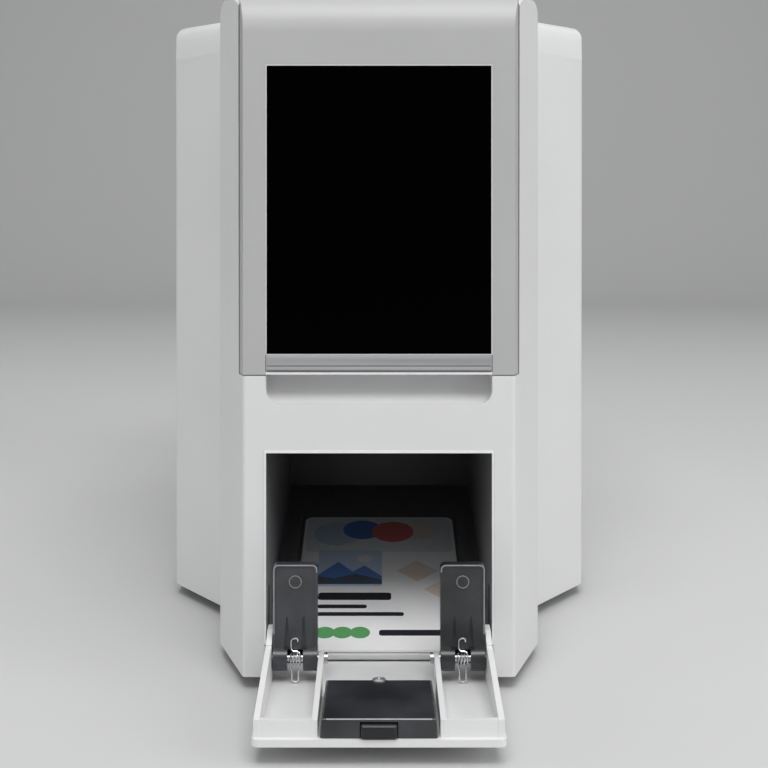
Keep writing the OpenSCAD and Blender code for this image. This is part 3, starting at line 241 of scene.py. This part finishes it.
# Body of the nodes that get a rounded copy; the others ride the printer.
BODY_OF = {
    "hood": "hood", "trim_bar": "hood", "display_glass": "hood", "hopper_lid": "lid",
    "output_door": "door", "latch_housing": "door", "latch_bolt": "bolt",
    "left_card_stop": "left_stop", "right_card_stop": "right_stop",
}


# ---- mesh helpers ----
LINE_SIDES = 8
SMOOTH_ANGLE = math.radians(32)
HARD_ANGLE = math.radians(25)
FLAT_ANGLE = math.radians(1.2)
MERGE_DIST = 0.000002


def is_hard(e):
    return len(e.link_faces) == 2 and e.calc_face_angle() > HARD_ANGLE


def bevel_edges(bm, edges, width, segments):
    """Rounds edges; width is in mm."""
    bmesh.ops.bevel(bm, geom=edges, offset=width * MM, offset_type="OFFSET", segments=segments, profile=0.5,
                    affect="EDGES", clamp_overlap=True)


def mesh_object(name, bm, looks):
    """Turns a finished bmesh into an object with these materials."""
    me = bpy.data.meshes.new(name)
    for look in looks:
        me.materials.append(look)
    bm.to_mesh(me)
    bm.free()
    o = bpy.data.objects.new(name, me)
    scene.collection.objects.link(o)
    return o


def piece(name, bm, look, body, bevel=0.0):
    """Finishes a mesh as a piece of the object that rides a body; bevel is in mm."""
    if bevel:
        bevel_edges(bm, [e for e in bm.edges if is_hard(e)], bevel, 2)
    bmesh.ops.recalc_face_normals(bm, faces=bm.faces)
    o = mesh_object(name, bm, [look])
    for poly in o.data.polygons:
        poly.use_smooth = True
        poly.material_index = 0
    o.data.set_sharp_from_angle(angle=SMOOTH_ANGLE)
    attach(o, body)
    return o


def refined(node, rules, reshape=None):
    """A copy of a CAD node with rounded hard edges: rules are (test of the edge, width in mm, segments)."""
    bm = bmesh.new()
    bm.from_mesh(NODES[node].data)
    bmesh.ops.remove_doubles(bm, verts=bm.verts, dist=MERGE_DIST)
    bmesh.ops.dissolve_limit(bm, angle_limit=FLAT_ANGLE, verts=bm.verts, edges=bm.edges)
    if reshape:
        for v in bm.verts:
            reshape(v)
    for test, width, segments in rules:
        bevel_edges(bm, [e for e in bm.edges if is_hard(e) and test(e)], width, segments)
    look = LOOKS[node]
    o = piece(node + "_round", bm, look, BODY_OF.get(node, "printer"))
    o.modifiers.new("normals", "WEIGHTED_NORMAL").keep_sharp = True
    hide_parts(node)


def cuboid(bm, lo, hi):
    v = [bm.verts.new((x, y, z)) for x in (lo[0], hi[0]) for y in (lo[1], hi[1]) for z in (lo[2], hi[2])]
    for a, b, c, d in ((0, 1, 3, 2), (4, 6, 7, 5), (0, 4, 5, 1), (2, 3, 7, 6), (0, 2, 6, 4), (1, 5, 7, 3)):
        bm.faces.new((v[a], v[b], v[c], v[d]))


def strip(bm, rows, closed):
    """A strip with a row of points along each of its edges; an open one gets an end face at both ends."""
    rows = [[bm.verts.new(c) for c in row] for row in rows]
    count = len(rows[0])
    for a, b in zip(rows, rows[1:] + rows[:1]):
        for k in range(count if closed else count - 1):
            m = (k + 1) % count
            bm.faces.new((a[k], a[m], b[m], b[k]))
    if not closed:
        for k in (0, -1):
            bm.faces.new([row[k] for row in rows])


def tube(bm, pts, r, sides):
    """A round wire of radius r along the points, closed at both ends."""
    rings = []
    side = None
    for i, p in enumerate(pts):
        t = (pts[min(i + 1, len(pts) - 1)] - pts[max(i - 1, 0)]).normalized()
        if side is None:
            side = t.cross(Vector((1, 0, 0)) if abs(t.x) < 0.9 else Vector((0, 0, 1))).normalized()
        side = (side - t * side.dot(t)).normalized()
        up = t.cross(side)
        rings.append([bm.verts.new(p + (side * math.cos(a) + up * math.sin(a)) * r)
                      for a in [2 * math.pi * k / sides for k in range(sides)]])
    for a, b in zip(rings, rings[1:]):
        for k in range(sides):
            bm.faces.new((a[k], a[(k + 1) % sides], b[(k + 1) % sides], b[k]))
    bm.faces.new(rings[0][::-1])
    bm.faces.new(rings[-1])


def cut_corners(pts, times):
    """Smooths a line of points by cutting its corners; the ends stay."""
    for _ in range(times):
        out = [pts[0]]
        for a, b in zip(pts, pts[1:]):
            out += [a.lerp(b, 0.25), a.lerp(b, 0.75)]
        pts = out + [pts[-1]]
    return pts


# ---- printed design on the card: discs, a small landscape, diamonds and bars ----
CARD_NEAR_Y = FRONT + 3.6 * MM
CARD_NEAR_Z = 10.3 * MM
CARD_SLOPE = math.radians(14.4)
CARD_T = 0.76 * MM
INK_T = 0.012 * MM
DISC_STEPS = 40
BAR_STEPS = 6


def on_card(u, v, n):
    """u across and v from the near end, both in mm; n is the height over the card in metres."""
    d = CARD_T + n
    return (u * MM, CARD_NEAR_Y + v * MM * math.cos(CARD_SLOPE) - d * math.sin(CARD_SLOPE),
            CARD_NEAR_Z + v * MM * math.sin(CARD_SLOPE) + d * math.cos(CARD_SLOPE))


def disc(u, v, r):
    angles = [2 * math.pi * i / DISC_STEPS for i in range(DISC_STEPS)]
    return [(u + r * math.cos(a), v + r * math.sin(a)) for a in angles]


def bar(u0, v0, u1, v1, r):
    """A bar from corner (u0, v0) to corner (u1, v1) with corners of radius r."""
    pts = []
    left, right, near, far = u0 + r, u1 - r, v0 + r, v1 - r
    for cu, cv, a0 in ((right, near, -90), (right, far, 0), (left, far, 90), (left, near, 180)):
        for i in range(BAR_STEPS + 1):
            a = math.radians(a0 + 90 / BAR_STEPS * i)
            pts.append((cu + r * math.cos(a), cv + r * math.sin(a)))
    return pts


def ink(name, color):
    return material(name, color, 0.24, spread=0.04, mottle=(900, 0.05), grain=(400, 0.05, 0.00002), coat=0.3)


INKS = {
    "blue": ink("ink_blue", (0.13, 0.26, 0.62)), "red": ink("ink_red", (0.74, 0.20, 0.20)),
    "sky": ink("ink_sky", (0.58, 0.70, 0.86)), "mist": ink("ink_mist", (0.80, 0.83, 0.86)),
    "slate": ink("ink_slate", (0.10, 0.12, 0.16)), "sand": ink("ink_sand", (0.84, 0.72, 0.62)),
    "green": ink("ink_green", (0.12, 0.38, 0.14)), "dark": ink("ink_dark", (0.025, 0.025, 0.03)),
}
# Ink, layer and outline of each printed form, in mm on the card.
PRINT = [
    ("mist", 1, bar(-26, 60, 26, 84.5, 2.5)), ("sky", 2, disc(-15, 73, 8.5)), ("blue", 3, disc(-6, 76, 7)),
    ("red", 4, disc(5, 74.5, 7.5)), ("sand", 3, disc(15, 76, 6.5)),
    ("sky", 4, bar(-21, 37, 1, 61, 1.2)), ("mist", 5, disc(-5, 55, 2.6)),
    ("blue", 5, [(-21, 44), (-14, 53), (-9, 46.5), (-5, 50.5), (1, 43.5), (1, 38.2), (-21, 38.2)]),
    ("slate", 6, [(-21, 38.4), (1, 38.4), (1, 41), (-8, 45), (-15, 42), (-21, 43.5)]),
    ("sand", 2, [(13, 40), (20, 47), (13, 54), (6, 47)]),
    ("sand", 2, [(20, 30), (25, 35), (20, 40), (15, 35)]),
    ("dark", 3, bar(-20, 28.5, 4, 33, 1)), ("dark", 3, bar(-20, 23.5, -4, 25.7, 0.8)),
    ("dark", 3, bar(-20, 19, 8, 21.2, 0.8)),
    ("green", 3, disc(-17, 9.5, 3.2)), ("green", 4, disc(-11.5, 9.5, 3.2)), ("green", 3, disc(-6, 9.5, 3.2)),
    ("dark", 3, bar(0, 7.8, 20, 11, 1)),
]


def card_design():
    """Thin layers of ink on the card, as one piece with a material for each ink."""
    names = sorted(INKS)
    bm = bmesh.new()
    for color, layer, pts in PRINT:
        top = [bm.verts.new(on_card(u, v, layer * INK_T)) for u, v in pts]
        low = [bm.verts.new(on_card(u, v, 0)) for u, v in pts]
        faces = [bm.faces.new(top), bm.faces.new(low[::-1])]
        for i in range(len(pts)):
            j = (i + 1) % len(pts)
            faces.append(bm.faces.new((low[i], low[j], top[j], top[i])))
        for f in faces:
            f.material_index = names.index(color)
    bmesh.ops.recalc_face_normals(bm, faces=bm.faces)
    o = mesh_object("card_design", bm, [INKS[n] for n in names])
    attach(o, "printer")


card_design()


# ---- front shell: soft edges of nose and opening, lower beside the hood, a shallower finger scoop ----
MIDDLE_HALF = 35 * MM
OPENING_HIGH = 73 * MM
EDGE_DEEP = 0.1 * MM
NOSE_X = 38 * MM
NOSE_DEEP = 40 * MM
NOSE_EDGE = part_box("front_shell")[1][0]
UPRIGHT_SHARE = 0.95
SHOULDER_X = 40 * MM
SHOULDER_DEEP = 50 * MM
SHOULDER_WIDE = 6 * MM
BROW_R = 18 * MM
NOSE_DROP = 4.5 * MM
SCOOP_Z = (84 * MM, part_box("hood")[0][2] + 12 * MM)
SCOOP_DEEP = (0.2 * MM, 12 * MM)
SCOOP_SHARE = 0.75


def anywhere(e):
    return True


def upright_front(e):
    """The vertical edges of the nose that the photo shows softly rounded."""
    a, b = (v.co for v in e.verts)
    upright = abs(b.z - a.z) / max((b - a).length, 1e-9) > UPRIGHT_SHARE
    return upright and a.y < FRONT + NOSE_DEEP and abs(a.x) > NOSE_X


def opening_rim(e):
    """The edges round the output opening, on the front face."""
    return all(v.co.y < FRONT + EDGE_DEEP and abs(v.co.x) < MIDDLE_HALF and v.co.z < OPENING_HIGH
               for v in e.verts)


def lower_shoulder(v):
    """Beside the hood the photo shows the nose a little lower; this fades out towards its outer edge."""
    if v.co.z <= TOP - BROW_R or abs(v.co.x) < SHOULDER_X or v.co.y > FRONT + SHOULDER_DEEP:
        return
    t = min(max((NOSE_EDGE - abs(v.co.x)) / SHOULDER_WIDE, 0), 1)
    high = (v.co.z - (TOP - BROW_R)) / BROW_R
    v.co.z -= NOSE_DROP * t * t * (3 - 2 * t) * high


def front_shape(v):
    lower_shoulder(v)
    d = v.co.y - FRONT
    if abs(v.co.x) < MIDDLE_HALF and SCOOP_Z[0] < v.co.z < SCOOP_Z[1] and SCOOP_DEEP[0] < d < SCOOP_DEEP[1]:
        v.co.y = FRONT + d * SCOOP_SHARE


# ---- side covers: higher tops with a tighter bend ----
WING_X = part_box("right_side_cover")[1][0]
WING_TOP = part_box("right_side_cover")[1][2]
WING_R = 11 * MM
WING_SIDE_R = 9 * MM
WING_POWER = 2.6
WING_SIDE_POWER = 4
WING_RISE = 5 * MM
WING_RISE_END = FRONT + 290 * MM
WING_KNEE = (52.4 * MM, FRONT + 65.3 * MM)
WING_FRONT = Vector((34.7, -25.2)).normalized()


def squared(u, w, power):
    """Pushes a point of a quarter round outwards, to a squarer bend; u and w are shares of its radius."""
    if u <= 0 or w <= 0:
        return u, w
    k = math.hypot(u, w) / (u ** power + w ** power) ** (1 / power)
    return u * k, w * k


def raise_shoulder(v):
    """The photo shows the top of the side covers higher than the CAD has it, with a tighter bend."""
    if v.co.z <= WING_TOP - WING_R:
        return
    side = -1 if v.co.x < 0 else 1
    a = WING_X - abs(v.co.x)
    u, w = squared(1 - a / WING_SIDE_R, (v.co.z - WING_TOP) / WING_SIDE_R + 1, WING_SIDE_POWER)
    if a < WING_SIDE_R and w > 0:
        v.co.x = side * (WING_X - WING_SIDE_R * (1 - u))
        v.co.z = WING_TOP + WING_SIDE_R * (w - 1)
    f = WING_FRONT.dot(Vector((WING_KNEE[0] - abs(v.co.x), WING_KNEE[1] - v.co.y)))
    u, w = squared(1 - f / WING_R, (v.co.z - WING_TOP) / WING_R + 1, WING_POWER)
    if 0 <= f < WING_R:
        move = WING_FRONT * (WING_R * (1 - u) - f)
        v.co.x -= side * move.x
        v.co.y -= move.y
        v.co.z = WING_TOP + WING_R * (w - 1)
    v.co.x = side * min(abs(v.co.x), WING_X)
    rise = WING_RISE if v.co.y < WING_RISE_END else 0
    v.co.z += rise * (v.co.z - WING_TOP + WING_R) / WING_R


# ---- moulded and machined parts with their hard edges rounded ----
refined("front_shell", [(upright_front, 2.2, 4), (opening_rim, 0.8, 3), (anywhere, 0.5, 2)], front_shape)
refined("left_side_cover", [(anywhere, 0.6, 2)], raise_shoulder)
refined("right_side_cover", [(anywhere, 0.6, 2)], raise_shoulder)
for node, width, segments in (
        ("top_cover", 0.5, 2), ("rear_panel", 0.5, 2), ("hood", 0.5, 2), ("hopper_lid", 0.6, 2),
        ("output_door", 0.35, 2), ("latch_housing", 0.3, 2), ("latch_bolt", 0.35, 2),
        ("left_card_stop", 0.3, 3), ("right_card_stop", 0.3, 3), ("trim_bar", 0.25, 2),
        ("display_glass", 0.3, 2)):
    refined(node, [(anywhere, width, segments)])


# ---- the open door and its stops, in mm ----
DOOR_Y = 5
DOOR_Z = 5.5
STOP_U = 18
PIN_W = 8.8
STOP_MID = 24.45


def on_door(x, u, w):
    """A point of the open door, in metres: x across, u from the hinge to the free edge, w up, all in mm."""
    return Vector((x * MM, FRONT + (DOOR_Y - u) * MM, (DOOR_Z + w) * MM))


# ---- springs of the card stops, as one smooth wire each ----
WIRE_R = 0.25
WIRE_SIDES = 10
COIL_R = 2
COIL_TURNS = 3
COIL_PITCH = 0.95
COIL_STEPS = 24
COIL_HALF = COIL_TURNS * COIL_PITCH / 2
LEG_W = -6.4
LEG_R = 0.95
LEG_STEPS = 8
HOOK_Y = 1.52
HOOK_X = 1.2
HOOK_TOP = 6.2


def stop_spring(name, body, centre):
    """A U leg on the floor side, the coil and the hook on the stop; both springs have the same hand."""
    q = COIL_HALF
    r = LEG_R
    low = [(r, COIL_R, -2.7), (r, COIL_R, LEG_W + r)]
    low += [(r * math.cos(a), COIL_R, LEG_W + r + r * math.sin(a))
            for a in [math.radians(-180 / LEG_STEPS * k) for k in range(1, LEG_STEPS)]]
    low += [(-r, COIL_R, LEG_W + r), (-r, COIL_R, -3.0), (-q, COIL_R, -1.6)]
    coil = []
    for i in range(COIL_TURNS * COIL_STEPS + 1):
        a = 2 * math.pi * i / COIL_STEPS
        coil.append((i * COIL_PITCH / COIL_STEPS - q, COIL_R * math.cos(a), COIL_R * math.sin(a)))
    high = [(q, COIL_R, 1.5), (q - 0.3, COIL_R, 2.3), (q - 0.9, COIL_R, 2.6), (0.7 - HOOK_X, COIL_R, 2.6),
            (0.2 - HOOK_X, HOOK_Y + 0.3, 2.9), (-HOOK_X, HOOK_Y, 3.6), (-HOOK_X, HOOK_Y, HOOK_TOP - 0.7),
            (0.3 - HOOK_X, HOOK_Y, HOOK_TOP - 0.2), (0.8 - HOOK_X, HOOK_Y, HOOK_TOP),
            (HOOK_X - 0.8, HOOK_Y, HOOK_TOP), (HOOK_X - 0.5, HOOK_Y, HOOK_TOP - 0.2),
            (HOOK_X - 0.4, HOOK_Y, HOOK_TOP - 1)]
    pts = [on_door(centre + x, STOP_U + u, PIN_W + w) for x, u, w in low + coil + high]
    bm = bmesh.new()
    tube(bm, cut_corners(pts, 2), WIRE_R * MM, WIRE_SIDES)
    o = piece(name + "_wire", bm, WIRE, body)
    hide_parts(name)


stop_spring("left_stop_spring", "left_stop", -STOP_MID)
stop_spring("right_stop_spring", "right_stop", STOP_MID)


# ---- painted highlight as a light line on the edge of each stop, and a raised ring and bar on its face, lighter by a painted highlight ----
RIM_FACE = 1.5
RIM_R = 1.3 * MM
RIM_INSET = 0.3 * MM
RIM_OUTER_LONG = 20 * MM
RIM_INNER_LONG = 2 * MM
RIM_LINE_R = 0.24 * MM
MARK_FACE = 1.56
MARK_W = 22.7
MARK_R = 1.75
MARK_STEPS = 48
MARK_BAR = (-0.85, -0.8, 0.8, 0.85)
MARK_RING_R = 0.16 * MM
MARK_BAR_R = 0.2 * MM


def stop_rim_highlight(name, body, node):
    """A painted highlight: the thin light line along the outer edge and the top of a stop."""
    lo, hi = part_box(node)
    side = -1 if hi[0] < 0 else 1
    outer, inner = (lo[0], hi[0]) if side < 0 else (hi[0], lo[0])
    outer -= side * RIM_INSET
    inner += side * RIM_INSET
    y = FRONT + (DOOR_Y - STOP_U - RIM_FACE) * MM
    top = hi[2] - RIM_INSET
    pts = [(outer, top - RIM_OUTER_LONG)]
    for cx, sign in ((outer - side * RIM_R, side), (inner + side * RIM_R, -side)):
        for a in range(0, 91, 15) if sign == side else range(90, -1, -15):
            c = math.radians(a)
            pts.append((cx + sign * RIM_R * math.cos(c), top - RIM_R + RIM_R * math.sin(c)))
    pts.append((inner, top - RIM_INNER_LONG))
    bm = bmesh.new()
    tube(bm, [Vector((x, y, z)) for x, z in pts], RIM_LINE_R, LINE_SIDES)
    piece(name, bm, EDGE_HIGHLIGHT, body)


def stop_mark_with_highlight(name, body, centre):
    """The raised ring and bar on the face of a stop, near its top; their lighter grey is a painted
    highlight.
    """
    u, w = STOP_U + MARK_FACE, PIN_W + MARK_W
    ring = [on_door(centre + MARK_R * math.cos(a), u, w + MARK_R * math.sin(a))
            for a in [2 * math.pi * k / MARK_STEPS for k in range(MARK_STEPS)]]
    bm = bmesh.new()
    tube(bm, ring + ring[:1], MARK_RING_R, LINE_SIDES)
    tube(bm, [on_door(centre + x, u, w) for x in MARK_BAR], MARK_BAR_R, LINE_SIDES)
    piece(name, bm, MARK_HIGHLIGHT, body)


stop_rim_highlight("left_stop_rim_highlight", "left_stop", "left_card_stop")
stop_rim_highlight("right_stop_rim_highlight", "right_stop", "right_card_stop")
stop_mark_with_highlight("left_stop_mark_with_highlight", "left_stop", -STOP_MID)
stop_mark_with_highlight("right_stop_mark_with_highlight", "right_stop", STOP_MID)


# ---- contacts in the sockets at the rear: places and half sizes in x and z, far and near end, in mm ----
BLADES = ((-6, -1.5), (6, -1.5), (0, 3))
BLADE_HALF = (1, 2)
BLADE_ENDS = (16.8, 5)
TONGUE_HALF = (2.8, 1.5)
TONGUE_ENDS = (8.8, 1)
CONTACTS = ((-1.4, -1.65), (-1.4, 1.65), (1.4, -1.65), (1.4, 1.65))
CONTACT_HALF = (0.5, 0.2)
CONTACT_ENDS = (8.6, 2)


def rear_blocks(name, node, places, half, ends, look, bevel):
    """Blocks inside a socket; the ends are counted from the rear face of its node."""
    lo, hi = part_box(node)
    x, y, z = (lo[0] + hi[0]) / 2, hi[1], (lo[2] + hi[2]) / 2
    bm = bmesh.new()
    for dx, dz in places:
        cuboid(bm, (x + (dx - half[0]) * MM, y - ends[0] * MM, z + (dz - half[1]) * MM),
               (x + (dx + half[0]) * MM, y - ends[1] * MM, z + (dz + half[1]) * MM))
    piece(name, bm, look, "printer", bevel)


rear_blocks("inlet_blades", "power_inlet", BLADES, BLADE_HALF, BLADE_ENDS, STEEL, 0.4)
rear_blocks("usb_tongue", "usb_socket", [(0, 0)], TONGUE_HALF, TONGUE_ENDS, BLACK, 0.3)
rear_blocks("usb_contacts", "usb_socket", CONTACTS, CONTACT_HALF, CONTACT_ENDS, BRONZE, 0.05)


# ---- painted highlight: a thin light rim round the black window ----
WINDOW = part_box("display_glass")
WINDOW_DROP = 0.6 * MM
WINDOW_RIM = (0.12, -0.22)
WINDOW_PROUD = 0.08 * MM
WINDOW_DEEP = 0.5 * MM


def window_rim_highlight():
    lo, hi = WINDOW
    y0, y1 = FRONT - WINDOW_PROUD, FRONT + WINDOW_DEEP
    out, into = WINDOW_RIM
    rows = []
    for grow, y in ((out, y1), (out, y0), (into, y0), (into, y1)):
        g = grow * MM
        x0, x1, z0, z1 = lo[0] - g, hi[0] + g, lo[2] - WINDOW_DROP - g, hi[2] + g
        rows.append([(x0, y, z0), (x1, y, z0), (x1, y, z1), (x0, y, z1)])
    bm = bmesh.new()
    strip(bm, rows, True)
    piece("window_rim_highlight", bm, RIM_HIGHLIGHT, "hood", 0.05)


window_rim_highlight()


# ---- painted highlight: a thin light lip round the top and the sides of the output opening ----
OPENING_X = 34.4 * MM
OPENING_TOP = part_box("base_plate")[0][2] + 68 * MM
LIP_FOOT = 14 * MM
LIP_OUT = (0.4, 0.75)  # sideways and up from the opening's edge, in mm
LIP_IN = (-0.05, -0.05)
LIP_PROUD = 0.15 * MM
LIP_DEEP = 0.9 * MM


def lip_highlight():
    y0, y1 = FRONT - LIP_PROUD, FRONT + LIP_DEEP
    rows = []
    for side, over, y in (LIP_OUT + (y1,), LIP_OUT + (y0,), LIP_IN + (y0,), LIP_IN + (y1,)):
        x, z = OPENING_X + side * MM, OPENING_TOP + over * MM
        rows.append([(-x, y, LIP_FOOT), (-x, y, z), (x, y, z), (x, y, LIP_FOOT)])
    bm = bmesh.new()
    strip(bm, rows, False)
    piece("lip_highlight", bm, LIP_HIGHLIGHT, "printer", 0.2)


lip_highlight()


# ---- painted shade lines on the trim bar, the foot of the window right over it and a painted highlight on the lower lip of the hood ----
LINE_AT = 0.33
LINE_HALF = 0.14 * MM
LINE_INSET = 0.4 * MM
LINE_DEEP = 0.3 * MM
FOOT_INSET = 0.1 * MM
FOOT_PROUD = 0.05 * MM
FOOT_HIGH = 0.4 * MM
FOOT_DEEP = 0.4 * MM
HOOD_LIP_PROUD = 0.06 * MM
HOOD_LIP_FOOT = 0.12 * MM
HOOD_LIP_GAP = 0.14 * MM


def hood_block(name, lo, hi, look, bevel):
    """A block on the front of the hood that lifts with it."""
    bm = bmesh.new()
    cuboid(bm, lo, hi)
    piece(name, bm, look, "hood", bevel)


def trim_shade_and_lip_highlight():
    lo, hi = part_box("trim_bar")
    z = lo[2] + LINE_AT * (hi[2] - lo[2])
    bm = bmesh.new()
    # painted shade: a dark line across the trim bar and one along its foot, in the gap
    for proud, z0, z1 in ((0.03, z - LINE_HALF, z + LINE_HALF), (0.04, lo[2] - 0.1 * MM, lo[2] + 0.12 * MM)):
        cuboid(bm, (lo[0] + LINE_INSET, lo[1] - proud * MM, z0), (hi[0] - LINE_INSET, lo[1] + LINE_DEEP, z1))
    piece("trim_shade_line", bm, SHADE, "hood", 0.05)
    left, right, foot = WINDOW[0][0], WINDOW[1][0], WINDOW[0][2]
    hood_block("window_foot", (left + FOOT_INSET, FRONT - FOOT_PROUD, foot - WINDOW_DROP),
               (right - FOOT_INSET, FRONT + FOOT_DEEP, foot + FOOT_HIGH), GLASS, 0.03)
    # painted highlight along the lower lip of the hood
    hood_block("hood_lip_highlight", (lo[0], FRONT - HOOD_LIP_PROUD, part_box("hood")[0][2] + HOOD_LIP_FOOT),
               (hi[0], FRONT + FOOT_DEEP, lo[2] - HOOD_LIP_GAP), LIP_HIGHLIGHT, 0.08)


trim_shade_and_lip_highlight()


# ---- painted highlight: a light line along the front top edge of the latch box, in mm on the door ----
LATCH_LINE_U = 0.28
LATCH_LINE_W = 6.92
LATCH_LINE_INSET = 1.6
LATCH_LINE_R = 0.2 * MM


def latch_line_highlight():
    lo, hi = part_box("latch_housing")
    u = DOOR_Y - (lo[1] - FRONT) / MM - LATCH_LINE_U
    half = hi[0] / MM - LATCH_LINE_INSET
    bm = bmesh.new()
    tube(bm, [on_door(half * k, u, LATCH_LINE_W) for k in (-1, -0.5, 0.5, 1)], LATCH_LINE_R, LINE_SIDES)
    piece("latch_line_highlight", bm, LINE_HIGHLIGHT, "door")


latch_line_highlight()


# ---- floor that bends up into a wall behind the printer ----
FLOOR_FRONT = -3.0
FLOOR_BACK = 1.6
FLOOR_HALF = 3.0
BEND_R = 0.6
BEND_STEPS = 10
WALL_TOP = 2.4
FLOOR_GREY = 0.60
FLOOR_ROUGH = 0.6


def stage_floor():
    m, nt, b = nodes_of("floor_pale")
    b.inputs["Base Color"].default_value = (FLOOR_GREY, FLOOR_GREY, FLOOR_GREY, 1)
    b.inputs["Roughness"].default_value = FLOOR_ROUGH
    profile = [(FLOOR_FRONT, 0.0), (FLOOR_BACK, 0.0)]
    profile += [(FLOOR_BACK + BEND_R * math.sin(a), BEND_R - BEND_R * math.cos(a))
                for a in [math.radians(90 / BEND_STEPS * i) for i in range(1, BEND_STEPS + 1)]]
    profile += [(FLOOR_BACK + BEND_R, WALL_TOP)]
    bm = bmesh.new()
    rows = [[bm.verts.new((x, y, z)) for y, z in profile] for x in (-FLOOR_HALF, FLOOR_HALF)]
    for i in range(len(profile) - 1):
        bm.faces.new((rows[0][i], rows[1][i], rows[1][i + 1], rows[0][i + 1]))
    o = mesh_object("floor", bm, [m])
    for p in o.data.polygons:
        p.use_smooth = True


stage_floor()


# ---- light: name, power, size, place and aim of each lamp ----
LAMPS = [
    ("key_right", 8.5, (0.8, 1.0), (1.5, -0.75, 0.75), (0, -0.1, 0.08)),
    ("fill_left", 3.2, (0.8, 1.0), (-1.5, -0.75, 0.45), (0, -0.1, 0.05)),
    ("front_45", 3, (1.4, 0.9), (0.1, -1.3, 1.30), (0, -0.15, 0.02)),
    ("front_60", 15, (1.2, 0.8), (0.1, -0.95, 1.55), (0, -0.16, 0.05)),
    ("top_soft", 7, (1.4, 1.2), (0, 0.35, 1.7), (0, 0, 0.1)),
]
WORLD_COLOR = (0.97, 0.98, 1.0, 1)
WORLD_LEVEL = 0.33


def lamp(name, power, size, place, aim):
    d = bpy.data.lights.new(name, "AREA")
    d.shape = "RECTANGLE"
    d.size, d.size_y = size
    d.energy = power
    o = bpy.data.objects.new(name, d)
    scene.collection.objects.link(o)
    o.location = place
    o.rotation_euler = (Vector(aim) - Vector(place)).to_track_quat("-Z", "Y").to_euler()


world = bpy.data.worlds.new("studio")
scene.world = world
world.use_nodes = True
background = world.node_tree.nodes["Background"]
background.inputs["Color"].default_value = WORLD_COLOR
background.inputs["Strength"].default_value = WORLD_LEVEL
for row in LAMPS:
    lamp(*row)
